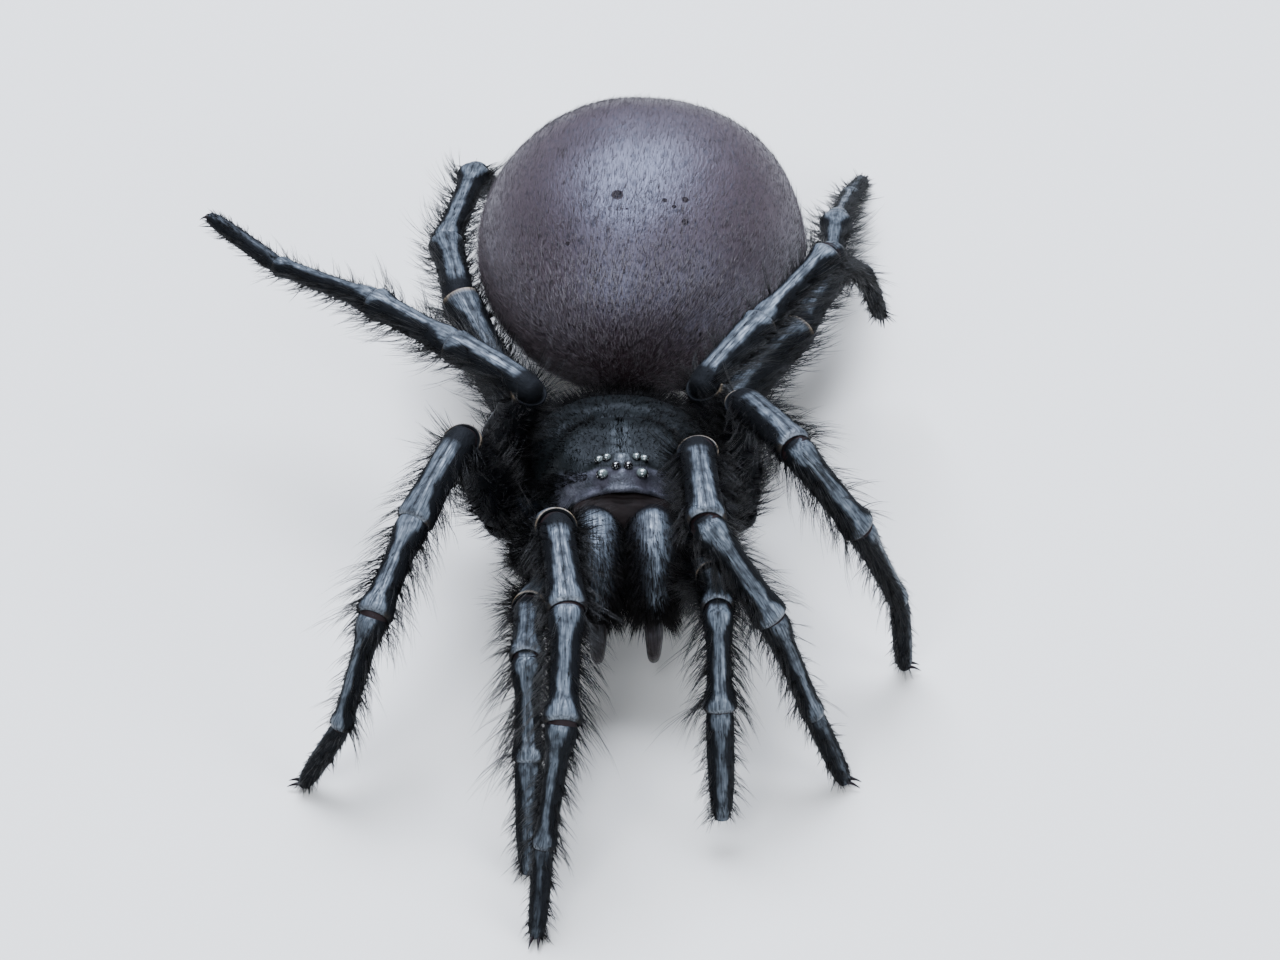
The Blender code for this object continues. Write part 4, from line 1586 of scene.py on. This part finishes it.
@dataclass
class Carapace:
    """The head shield, with the eye mound raised in it, and the eight eyes.

    under gives the rings of its edge and underside, as a share of the outline and a drop from the rim. An eye of
    each pair is millimetres aside, millimetres ahead of the mound's middle, a radius and how long its oval is.
    """

    stance: Stance
    front: float = -5.6
    rear: float = 4.7
    half_width: float = 4.2
    underside: float = 0.95
    rim: float = 0.45
    front_lift: float = 2.3
    front_arch: float = 0.24
    thorax_rise: float = 1.75
    caput_rise: float = 1.0
    front_power: float = 2.6
    rear_power: float = 2.3
    waist_share: float = 0.13
    neck_half_width: float = 1.75
    neck_widening: float = 1.75
    neck_slope: float = 0.75
    furrow_y: float = 1.35
    furrow_bow: float = 0.3
    furrow_depth: float = 0.42
    furrow_width: float = 0.38
    grooves: tuple[int, float, float] = (4, 38, 34)
    groove_depth: float = 0.12
    groove_width: float = 0.09
    spokes: int = 220
    rings: int = 90
    mound_y: float = -4.82
    mound_half: tuple[float, float] = (1.4, 0.85)
    mound_rise: float = 0.4
    nap: int = 2600
    rim_hairs: int = 5200
    midline_hairs: int = 90
    seed: int = 33
    under: Rows = (
        (1.02, -0.03),
        (1.034, 0.06),
        (1.034, 0.18),
        (1.015, 0.3),
        (0.965, 0.42),
        (0.8, 0.4),
        (0.5, 0.3),
        (0.02, 0.3),
    )
    eyes: Spots = (
        (0.27, 0.24, 0.21, 1.0),
        (0.87, 0.42, 0.26, 1.15),
        (0.98, -0.3, 0.19, 1.2),
        (0.65, -0.3, 0.2, 1.05),
    )

    def outline(self, angle: np.ndarray) -> np.ndarray:
        """Gives the shield's reach in plan.

        Args:
            angle: from straight ahead.

        Returns:
            Millimetres from the middle to the edge.
        """
        ahead, aside = np.cos(angle), np.abs(np.sin(angle))
        half_length = np.where(ahead > 0, -self.front, self.rear)
        power = np.where(ahead > 0, self.front_power, self.rear_power)
        oval = ((np.abs(ahead) / half_length) ** power + (aside / self.half_width) ** power) ** (-1 / power)
        return oval * (1 - self.waist_share * smooth(1.5, 4.6, oval * ahead) * aside)

    def margin_lift(self, x: np.ndarray, y: np.ndarray) -> np.ndarray:
        """Gives how far the rim rises over the jaws.

        Args:
            x: across, in millimetres.
            y: to the rear.

        Returns:
            Millimetres upward.
        """
        arch = self.front_lift - self.front_arch * x**2
        return np.clip(arch, 0, None) * smooth(3.1, 2.2, np.abs(x)) * smooth(-3.4, -4.8, y)

    def height(self, x: np.ndarray, y: np.ndarray, edge: np.ndarray) -> np.ndarray:
        """Gives the height of the shield's top.

        Args:
            x: across, in millimetres.
            y: to the rear.
            edge: 0 in the middle to 1 at the rim.

        Returns:
            Millimetres above the body frame.
        """
        neck = self.neck_half_width + self.neck_widening * smooth(0.6, -4.2, y)
        caput = smooth(neck + self.neck_slope, neck - self.neck_slope, np.abs(x)) * smooth(1.0, -1.8, y)
        inward = np.clip(1 - edge ** (3 + 6 * caput), 0, None)
        lift = self.margin_lift(x, y)
        crest = self.thorax_rise * inward**0.8 + self.caput_rise * caput * inward**0.35
        top = self.underside + self.rim + lift + crest * (1 - lift / (self.thorax_rise + self.caput_rise))
        off = (y - (self.furrow_y - self.furrow_bow * (x / 1.2) ** 2)) / self.furrow_width
        top -= self.furrow_depth * np.exp(-(off**2)) * smooth(1.7, 1.0, np.abs(x))
        bearing = np.arctan2(np.abs(x), -(y - 1.0))
        count, first, step = self.grooves
        for k in range(count):
            off = (bearing - math.radians(first + step * k)) / self.groove_width
            top -= self.groove_depth * np.exp(-(off**2)) * smooth(0.25, 0.6, edge) * (1 - edge**4)
        top += 0.06 * np.exp(-((x / 0.5) ** 2)) * caput
        far = np.sqrt((x / self.mound_half[0]) ** 2 + ((y - self.mound_y) / self.mound_half[1]) ** 2)
        dip = 0.1 * np.exp(-((x / 0.16) ** 2)) * smooth(0.8, 0.3, far)
        lip = 0.1 * np.exp(-(((edge - 0.955) / 0.03) ** 2)) * smooth(-2.8, -4.4, y)
        return top + lip + (self.mound_rise * smooth(1.2, 0.66, far) - dip) * (1 - edge**14)

    def build(self, finishes: Finishes) -> None:
        """Builds the shield and the eyes.

        Args:
            finishes: the materials.
        """
        matrix = self.stance.prosoma()
        edge = np.concatenate([[0.004], np.linspace(0, 1, self.rings)[1:] ** 0.85])
        edge, angle = np.meshgrid(edge, ring_angles(self.spokes), indexing="ij")
        reach = self.outline(angle) * edge
        x, y = reach * np.sin(angle), -reach * np.cos(angle)
        top = np.stack([x, y, self.height(x, y, edge)], axis=-1)
        sheets = [top]
        for share, drop in self.under:
            reach = self.outline(angle[:1]) * share
            x, y = reach * np.sin(angle[:1]), -reach * np.cos(angle[:1])
            level = self.underside + self.rim + self.margin_lift(x, y) - drop
            sheets.append(np.stack([x, y, level], axis=-1))
        grid = np.concatenate(sheets)[:, ::-1]
        shield = Pieces()
        x, y, z = (grid[..., k] for k in range(3))
        # The midline streak and the front lip take the bare finish: more gloss and a pale colour painted on as a
        # highlight. The lip's rim colour is a painted highlight too.
        midline = np.exp(-((x / 0.42) ** 2)) * smooth(0.3, -1.2, y)
        edge = np.concatenate([edge, np.ones((len(sheets) - 1, self.spokes))])
        lip = smooth(0.9, 0.95, edge) * smooth(-3.4, -4.6, y) * smooth(0.9, 1.2, z)
        bare = 0.06 + 0.6 * midline + (0.94 - 0.6 * midline) * lip
        for across, ahead, radius, _ in self.eyes:
            bare *= smooth(1.2, 1.9, np.hypot(np.abs(x) - across, y - self.mound_y + ahead) / radius)
        lie = np.stack([x, z, y], axis=-1) * MM
        shield.add(moved(matrix, grid), lie=lie, bare=bare, rim=0.5 * lip)
        piece = shield.build("carapace_shield")
        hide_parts("carapace")
        finishes.dress(piece, finishes.shell)
        self.build_eyes(matrix, finishes)
        self.bristles(matrix, finishes)
        LOG.info("carapace and eyes")

    def bristles(self, matrix: Matrix, finishes: Finishes) -> None:
        """Builds the shield's fine hair: a sparse nap, a fringe at the rim and a row along the middle.

        Args:
            matrix: the body frame.
            finishes: the materials.
        """
        rng = np.random.default_rng(self.seed)
        row = self.midline_hairs
        inner, outer = rng.uniform(0.1, 0.97, self.nap) ** 0.6, rng.uniform(0.93, 1.0, self.rim_hairs)
        edge = np.concatenate([inner, outer, np.zeros(row)])
        angle = rng.uniform(0, math.tau, len(edge))
        ahead = (np.abs(np.angle(np.exp(1j * angle))) < 0.55) & (edge > 0.9)
        edge = np.where(ahead, edge * 0.97, edge)
        reach = self.outline(angle) * edge
        x, y = reach * np.sin(angle), -reach * np.cos(angle)
        x[-row:], y[-row:] = rng.normal(0, 0.1, row), rng.uniform(-4.0, 0.6, row)
        edge[-row:] = np.hypot(x[-row:], y[-row:]) / self.outline(np.arctan2(x[-row:], -y[-row:]))
        root = np.stack([x, y, self.height(x, y, edge) - 0.03], axis=-1)
        at_rim = smooth(0.9, 1.0, edge)[:, None]
        side = np.stack([x / 4.2, y / 8.0, np.zeros_like(x)], axis=-1)
        up = np.array([0.0, 0.0, 1.0])
        lie = side * 0.9 + up * 0.35 + rng.normal(0, 0.15, root.shape)
        stand = side * 1.1 + up * 0.25 + rng.normal(0, 0.25, root.shape)
        aim = lie * (1 - at_rim) + stand * at_rim
        aim[-row:] = np.array([0.0, -0.55, 0.9]) + rng.normal(0, 0.12, (row, 3))
        length = rng.uniform(0.2, 0.42, len(x)) * (1 + (1.1 + 1.9 * smooth(1.0, 4.0, y)) * at_rim[:, 0])
        length[-row:] = rng.uniform(0.4, 0.75, row)
        length = np.where(ahead, length * 0.6, length)
        keep = np.hypot(x / 1.5, (y - self.mound_y) / 0.95) > 1
        count = int(keep.sum())
        places = np.stack([0.5 + x / 9.5, 0.5 + y / 12.0], axis=1)
        coat = Coat(sections=2)
        coat.add(
            moved(matrix, root[keep]),
            turned(matrix, aim[keep]),
            turned(matrix, np.tile([0.0, 0.12, -0.1], (count, 1))),
            length[keep],
            rng.uniform(0.012, 0.018, count),
            places[keep],
        )
        finishes.dress(coat.build("carapace_hair"), finishes.leg_hair)

    def build_eyes(self, matrix: Matrix, finishes: Finishes) -> None:
        """Builds the eight lenses.

        Args:
            matrix: the body frame.
            finishes: the materials.
        """
        lenses = Pieces()
        lat, lon = np.meshgrid(np.linspace(-1.52, 1.52, 16), ring_angles(24), indexing="ij")
        facing = np.array([0.0, -0.5, 0.866])
        for across, ahead, radius, stretch in self.eyes:
            ball = [np.cos(lat) * np.cos(lon) * stretch, np.cos(lat) * np.sin(lon), np.sin(lat) * 0.95]
            ball = np.stack(ball, axis=-1)
            # Pale on the cap that faces up and forward: partly the mirror layer, partly a painted highlight.
            pearly = smooth(0.35, 0.95, ball @ facing) * (ahead < 0 or across > 0.5)
            for sign in (-1, 1):
                x, y = sign * across, self.mound_y - ahead
                edge = math.hypot(x, y) / self.outline(np.arctan2(x, -y))
                z = float(self.height(np.array(x), np.array(y), edge)) + 0.03
                turn = np.array(Matrix.Rotation(math.radians(-sign * 35 if stretch > 1 else 0), 3, "Z"))
                lenses.add(moved(matrix, ball @ turn.T * radius + np.array([x, y, z])), pearly=pearly)
        piece = lenses.build("eye_lenses")
        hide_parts("eyes")
        finishes.dress(piece, finishes.lens)


@dataclass
class Jaws:
    """The paired jaws with their fangs, and the soft skin over their roots.

    A path is places to the rear and up, and sizes are half widths and half heights along it.
    """

    stance: Stance
    spread: float = 1.22
    path: Rows = (
        (-5.1, 1.35),
        (-5.95, 1.5),
        (-6.7, 1.5),
        (-7.5, 1.25),
        (-8.3, 0.75),
        (-9.0, 0.05),
        (-9.35, -0.5),
    )
    sizes: Rows = (
        (0.95, 1.1),
        (1.12, 1.36),
        (1.16, 1.52),
        (1.13, 1.52),
        (1.05, 1.38),
        (0.9, 1.08),
        (0.62, 0.68),
    )
    fang_path: Rows = ((-9.3, -0.9), (-9.5, -1.4), (-9.45, -2.0), (-9.1, -2.8), (-8.5, -3.45), (-7.75, -3.95))
    fang_sizes: Rows = ((0.4, 0.46), (0.4, 0.46), (0.36, 0.42), (0.3, 0.34), (0.2, 0.22), (0.02, 0.02))
    skin_path: Rows = ((-4.7, 2.1), (-5.35, 2.15), (-5.85, 1.85), (-6.4, 1.35))
    skin_sizes: Rows = ((2.1, 0.8), (2.2, 1.05), (2.05, 1.15), (1.5, 0.8))
    rings: int = 40
    sides: int = 36
    hair_count: int = 5200
    hair_width: tuple[float, float] = (0.014, 0.022)
    seed: int = 40

    def sweep(
        self, side: Side, path: Rows, sizes: Rows, rings: int, sides: int
    ) -> tuple[np.ndarray, np.ndarray, np.ndarray]:
        """Sweeps a section along a path in the jaw's upright plane.

        Args:
            side: which jaw.
            path: places to the rear and up.
            sizes: half width and half height at each place.
            rings: rings along the path.
            sides: points in a ring.

        Returns:
            The grid of points, the outward directions and the direction along the path, in the body frame.
        """
        knots = np.linspace(0, 1, len(path))
        at = np.linspace(0, 1, rings)
        line = curve_through(knots, np.array(path), at)
        size = curve_through(knots, np.array(sizes), at)
        ahead = unit(np.gradient(line, axis=0))
        up = np.stack([ahead[:, 1], -ahead[:, 0]], axis=1)
        angle = ring_angles(sides)
        x = side.value * self.spread + size[:, 0:1] * np.cos(angle)
        lift = size[:, 1:2] * np.sin(angle)
        y = line[:, 0:1] + up[:, 0:1] * lift
        z = line[:, 1:2] + up[:, 1:2] * lift
        grid = np.stack([x, y, z], axis=-1)
        outward = [np.cos(angle) + 0 * lift, up[:, 0:1] * np.sin(angle), up[:, 1:2] * np.sin(angle)]
        along = np.stack([np.zeros(rings), ahead[:, 0], ahead[:, 1]], axis=-1)[:, None, :] + 0 * grid
        return grid, np.stack(outward, axis=-1), along

    def build(self, finishes: Finishes) -> None:
        """Builds both jaws, their fangs and hair, and the skin over their roots.

        Args:
            finishes: the materials.
        """
        matrix = self.stance.prosoma()
        for side in Side:
            grid, out, along = self.sweep(side, self.path, self.sizes, self.rings, self.sides)
            first, last = grid[0].mean(axis=0), grid[-1].mean(axis=0)
            ends = [first + (grid[0] - first) * share for share in (0.05, 0.7)]
            closing = ((0.75, 0.16), (0.05, 0.22))
            tips = [last + (grid[-1] - last) * share + along[-1] * push for share, push in closing]
            whole = np.concatenate([np.stack(ends), grid, np.stack(tips)])
            share = np.linspace(0, 1, whole.shape[0])[:, None]
            # A bare band along each jaw's top, turned a little aside, takes the pale colour painted on as a
            # highlight.
            off = ring_angles(self.sides)[None] - math.pi / 2 + 0.2
            painted_highlight_stripe = np.exp(-((off / (0.82 - 0.55 * share)) ** 2))
            painted_highlight_stripe = painted_highlight_stripe * smooth(0.22, 0.34, share)
            pieces = Pieces()
            pieces.add(moved(matrix, whole), bare=painted_highlight_stripe, rim=np.zeros(1))
            piece = pieces.build(f"jaw_{side.word}")
            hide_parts(f"chelicera_{side.word}")
            finishes.dress(piece, finishes.jaw)
            grid_fang, _, _ = self.sweep(side, self.fang_path, self.fang_sizes, 30, 16)
            pieces = Pieces()
            pieces.add(moved(matrix, grid_fang), bare=np.ones(1), rim=np.zeros(1))
            piece = pieces.build(f"fang_{side.word}_horn")
            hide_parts(f"fang_{side.word}")
            finishes.dress(piece, finishes.fang)
            self.hair(side, matrix, grid, out, along, finishes)
        self.face_skin(matrix, finishes)
        LOG.info("jaws and fangs")

    def face_skin(self, matrix: Matrix, finishes: Finishes) -> None:
        """Builds the soft skin that joins the jaws' roots to the front rim of the shield.

        Args:
            matrix: the body frame.
            finishes: the materials.
        """
        knots, share = np.array([0.0, 0.35, 0.7, 1.0]), np.linspace(0, 1, 26)
        path, size = (curve_through(knots, np.array(rows), share) for rows in (self.skin_path, self.skin_sizes))
        size = size * np.sqrt(np.clip(1 - ((share - 0.55) / 0.46) ** 8, 0.0004, 1))[:, None]
        angle = ring_angles(56)
        fold = 1 + 0.025 * np.sin(share[:, None] * 46 + 1.5 * np.cos(3 * angle)) * np.clip(np.sin(angle), 0, 1)
        valley = 1 - 0.1 * np.exp(-((np.degrees(angle - math.pi / 2) / 9) ** 2))
        x = size[:, :1] * np.cos(angle) * fold
        z = path[:, 1:] + size[:, 1:] * np.sin(angle) * fold * valley
        y = path[:, :1] + 0 * x
        pieces = Pieces()
        pieces.add(moved(matrix, np.stack([x, y, z], axis=-1)))
        finishes.dress(pieces.build("face_skin"), finishes.face_skin)

    def hair(
        self,
        side: Side,
        matrix: Matrix,
        grid: np.ndarray,
        out: np.ndarray,
        along: np.ndarray,
        finishes: Finishes,
    ) -> None:
        """Builds a jaw's hair, longest beneath and at the end.

        Args:
            side: which jaw.
            matrix: the body frame.
            grid: the jaw's points.
            out: its outward directions.
            along: its direction of length.
            finishes: the materials.
        """
        rng = np.random.default_rng(self.seed + int(side.value))
        count = self.hair_count
        ring = rng.integers(1, grid.shape[0], count)
        turn = rng.integers(0, grid.shape[1], count)
        normal, ahead = out[ring, turn], along[ring, turn]
        across = np.cross(ahead, normal)
        root = grid[ring, turn] + rng.normal(0, 0.02, (count, 3))
        root += ahead * rng.uniform(-0.12, 0.12, (count, 1)) + across * rng.uniform(-0.11, 0.11, (count, 1))
        low = smooth(0.3, -0.7, normal[:, 2])
        far = ring / grid.shape[0]
        flank = smooth(0.93, 0.7, normal[:, 2]) * 0.5 + 0.06
        keep = rng.uniform(0, 1, count) < flank + (1 - flank) * np.maximum(low, far**2.5)
        root, normal, ahead, low, far = (a[keep] for a in (root, normal, ahead, low, far))
        coat = Coat(sections=2)
        coat.add(
            moved(matrix, root - normal * 0.05),
            turned(matrix, normal * 0.8 + ahead * rng.uniform(0.6, 1.3, (len(root), 1))),
            turned(matrix, ahead * 0.25 - normal * 0.15),
            (0.35 + 0.55 * low + 0.45 * far) * rng.uniform(0.6, 1.4, len(root)),
            rng.uniform(*self.hair_width, len(root)),
            np.stack([turn[keep] / grid.shape[1] * 0.99, far * 0.99], axis=1),
        )
        finishes.dress(coat.build(f"jaw_{side.word}_hair"), finishes.jaw_hair)


@dataclass
class Spinnerets:
    """The pair of long rear spinnerets."""

    stance: Stance
    lengths: tuple[float, float, float] = (1.7, 1.5, 2.1)
    root: Place = (0.95, 8.0, -2.6)
    ways: tuple[Place, ...] = ((0.22, 1.0, -0.32), (0.3, 1.0, 0.1), (0.36, 1.0, 0.34))
    profiles: tuple[Knots, ...] = (
        ((-0.1, 0.5, 0.5), (0.5, 0.62, 0.62), (-0.4, 0.57, 0.57), (0.0, 0.48, 0.48)),
        ((-0.15, 0.42, 0.42), (0.35, 0.53, 0.53), (-0.35, 0.48, 0.48), (0.0, 0.4, 0.4)),
        ((-0.15, 0.35, 0.35), (0.4, 0.44, 0.44), (-0.8, 0.34, 0.34), (-0.02, 0.1, 0.1)),
    )
    seed: int = 60

    def build(self, finishes: Finishes) -> None:
        """Builds both spinnerets with their hair.

        Args:
            finishes: the materials.
        """
        matrix = self.stance.abdomen()
        hair = {"bare": 0, "short": 420, "fringe": 60, "fringe_length": 0.6}
        plans = [SegmentPlan(knots, **hair) for knots in self.profiles]
        for side in Side:
            mirror = np.array([side.value, 1.0, 1.0])
            point = moved(matrix, np.array(self.root) * mirror)
            segments = []
            for length, way, plan in zip(self.lengths, self.ways, plans):
                end = point + unit(turned(matrix, np.array(way) * mirror)) * length
                segments.append(Segment(point, end, plan))
                point = end
            rng = np.random.default_rng(self.seed + int(side.value))
            piece = haired_skin(f"spinneret_{side.word}", segments, rng, finishes)
            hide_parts(f"spinneret_{side.word}")
        LOG.info("spinnerets")


# Where each leg's coxa starts and ends on the left side, its lengths, its thickness against the first leg's, its
# pose as heading and lift for each length, and how far its bare bands are turned about it
HIPS = {
    1: ((2.1, -3.5, -0.75), (4.2, -5.25, -0.25)),
    2: ((2.45, -1.15, -0.75), (5.3, -2.3, -0.25)),
    3: ((2.45, 1.2, -0.75), (5.85, 1.1, -0.25)),
    4: ((2.0, 3.45, -0.75), (4.25, 4.3, -0.2)),
}
LENGTHS = {
    1: (8.4, 4.8, 5.0, 5.2, 3.8),
    2: (7.8, 4.4, 4.8, 5.1, 3.9),
    3: (6.6, 4.5, 4.8, 5.9, 4.2),
    4: (8.3, 4.7, 5.9, 6.7, 4.0),
}
THICKNESS = {1: 1.0, 2: 0.97, 3: 0.95, 4: 1.0}
POSE = {
    (Side.RIGHT, 1): ((-103, 47), (-94, -7), (-86, -26), (-70, None), (-78, None)),
    (Side.RIGHT, 2): ((-63, 63), (-60, -22), (-68, -20), (-50, None), (10, None)),
    (Side.RIGHT, 3): ((-140, 68), (41, 5), (42, 2), (40, -5), (38, 15)),
    (Side.RIGHT, 4): ((68, 20), (82, -1), (104, 2), (100, None), (96, None)),
    (Side.LEFT, 1): ((-112, 69), (-88, -1), (-29, -52), (-20, None), (-14, None)),
    (Side.LEFT, 2): ((-90, 77), (-64, 6), (-17, -52), (22, -66), (5, None)),
    (Side.LEFT, 3): ((-146, 67), (50, 12), (46, 16), (62, -42), (60, -60)),
    (Side.LEFT, 4): ((56, 6), (68, -1), (82, -7), (78, None), (75, None)),
}
# The bare bands carry the painted highlight, so a roll turns where it falls.
ROLL = {(Side.LEFT, 1): 38.0, (Side.LEFT, 2): 35.0}
PALP_HIP = ((1.15, -5.1, -1.35), (3.1, -6.9, -0.75))
PALP_LENGTHS = (6.0, 3.6, 4.2, 4.8)
PALP_THICKNESS = 0.84
PALP_SEED = 90
PALP_POSE = {
    Side.RIGHT: ((-78, 31), (-88, 4), (-90, -54), (-88, None)),
    Side.LEFT: ((-83, 42), (-90, 18), (-90, -56), (-88, -68)),
}


def limbs(stance: Stance) -> list[Limb]:
    """Lists the eight legs and two palps.

    Args:
        stance: how the body is held.

    Returns:
        The limbs, not yet built.
    """
    found = []
    for side in Side:
        for pair, (coxa, hip) in HIPS.items():
            found.append(
                Limb(
                    name=f"leg_{side.word}_{pair}",
                    side=side,
                    stance=stance,
                    coxa_start=coxa,
                    hip=hip,
                    lengths=LENGTHS[pair],
                    pose=POSE[(side, pair)],
                    plans=(FEMUR, PATELLA, TIBIA, METATARSUS, TARSUS),
                    nodes=tuple(f"leg_{side.word}_{pair}_{piece}" for piece in ("upper", "middle", "lower")),
                    scale=THICKNESS[pair],
                    roll=ROLL.get((side, pair), 0.0),
                    seed=10 * pair + int(side.value),
                )
            )
        found.append(
            Limb(
                name=f"palp_{side.word}",
                side=side,
                stance=stance,
                coxa_start=PALP_HIP[0],
                hip=PALP_HIP[1],
                lengths=PALP_LENGTHS,
                pose=PALP_POSE[side],
                plans=(FEMUR, PATELLA, TIBIA, PALP_TARSUS),
                nodes=tuple(f"palp_{side.word}_{piece}" for piece in ("upper", "lower")),
                scale=PALP_THICKNESS,
                seed=PALP_SEED + int(side.value),
                clawed=False,
            )
        )
    return found


@dataclass(frozen=True)
class Softbox:
    """One square soft light: where it hangs and its width in millimetres, its watts and its colour."""

    name: str
    place: Place
    width: float
    watts: float
    colour: str

    def hang(self, target: Vector) -> None:
        """Adds the light.

        Args:
            target: what it is aimed at, in metres.
        """
        lamp = bpy.data.lights.new(self.name, "AREA")
        lamp.size = self.width * MM
        lamp.energy = self.watts
        lamp.color = linear(self.colour)[:3]
        holder = bpy.data.objects.new(self.name, lamp)
        holder.location = Vector(self.place) * MM
        holder.rotation_euler = (target - holder.location).to_track_quat("-Z", "Y").to_euler()
        bpy.context.scene.collection.objects.link(holder)


@dataclass
class Studio:
    """The pale floor, the soft lights and the camera at the photo's angle."""

    stance: Stance
    elevation: float = 38.0
    azimuth: float = -2.0
    distance: float = 170.0
    focal_pixels: float = 3774.0
    picture_width: int = 1280
    sensor_width: float = 36.0
    aim: Place = (0.94, -0.04, 4.85)
    clip: tuple[float, float] = (0.005, 10.0)
    floor_half: float = 700.0
    light_target: Place = (0, 0, 4)
    lights: tuple[Softbox, ...] = (
        Softbox("overhead_softbox", (-20, 120, 320), 220, 4.2, "#e3ecff"),
        Softbox("front_softbox", (-90, -230, 270), 150, 1.5, "#e6eefb"),
        Softbox("right_softbox", (240, -200, 120), 170, 1.25, "#e6eefb"),
        Softbox("back_softbox", (120, 250, 230), 150, 0.4, "#dfe9ff"),
    )
    sky: str = "#e6e9ee"
    sky_strength: float = 0.17

    def build(self, finishes: Finishes) -> None:
        """Builds the floor, the lights, the world and the camera.

        Args:
            finishes: the materials.
        """
        half = self.floor_half
        mesh = bpy.data.meshes.new("studio_floor")
        corners = [(-half, -half, 0), (half, -half, 0), (half, half, 0), (-half, half, 0)]
        mesh.from_pydata([Vector(c) * MM for c in corners], [], [(0, 1, 2, 3)])
        floor = bpy.data.objects.new("studio_floor", mesh)
        bpy.context.scene.collection.objects.link(floor)
        finishes.dress(floor, StudioFloor())
        for softbox in self.lights:
            softbox.hang(Vector(self.light_target) * MM)
        world = bpy.data.worlds.new("studio_world")
        world.use_nodes = True
        feed(world.node_tree.nodes["Background"], Color=linear(self.sky), Strength=self.sky_strength)
        bpy.context.scene.world = world
        self.camera()

    def camera(self) -> None:
        """Sets the camera where the photo was taken from."""
        rise, turn = math.radians(self.elevation), math.radians(self.azimuth)
        back = Vector((math.sin(turn) * math.cos(rise), -math.cos(turn) * math.cos(rise), math.sin(rise)))
        target = Vector(self.aim) + Vector(self.stance.shift)
        lens = bpy.data.cameras.new("photo_view")
        lens.sensor_width = self.sensor_width
        lens.lens = self.focal_pixels / self.picture_width * self.sensor_width
        lens.clip_start, lens.clip_end = self.clip
        eye = bpy.data.objects.new("photo_view", lens)
        eye.location = (target + back * self.distance) * MM
        eye.rotation_euler = (-back).to_track_quat("-Z", "Y").to_euler()
        bpy.context.scene.collection.objects.link(eye)
        bpy.context.scene.camera = eye


def main() -> None:
    """Builds the animal piece by piece, then the studio."""
    logging.basicConfig(level=logging.INFO, format="%(name)s: %(message)s")
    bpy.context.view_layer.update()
    stance = Stance()
    abdomen = Abdomen(stance)
    stance.shift = abdomen.place()
    LOG.info("the body stands at %s", np.round(stance.shift, 3))
    finishes = Finishes(abdomen.dimple_places())
    abdomen.build(finishes)
    Carapace(stance).build(finishes)
    Jaws(stance).build(finishes)
    Spinnerets(stance).build(finishes)
    for limb in limbs(stance):
        limb.build(finishes)
    finishes.coat(bpy.data.objects["sternum"], finishes.jaw)
    Studio(stance).build(finishes)


if __name__ == "__main__":
    main()
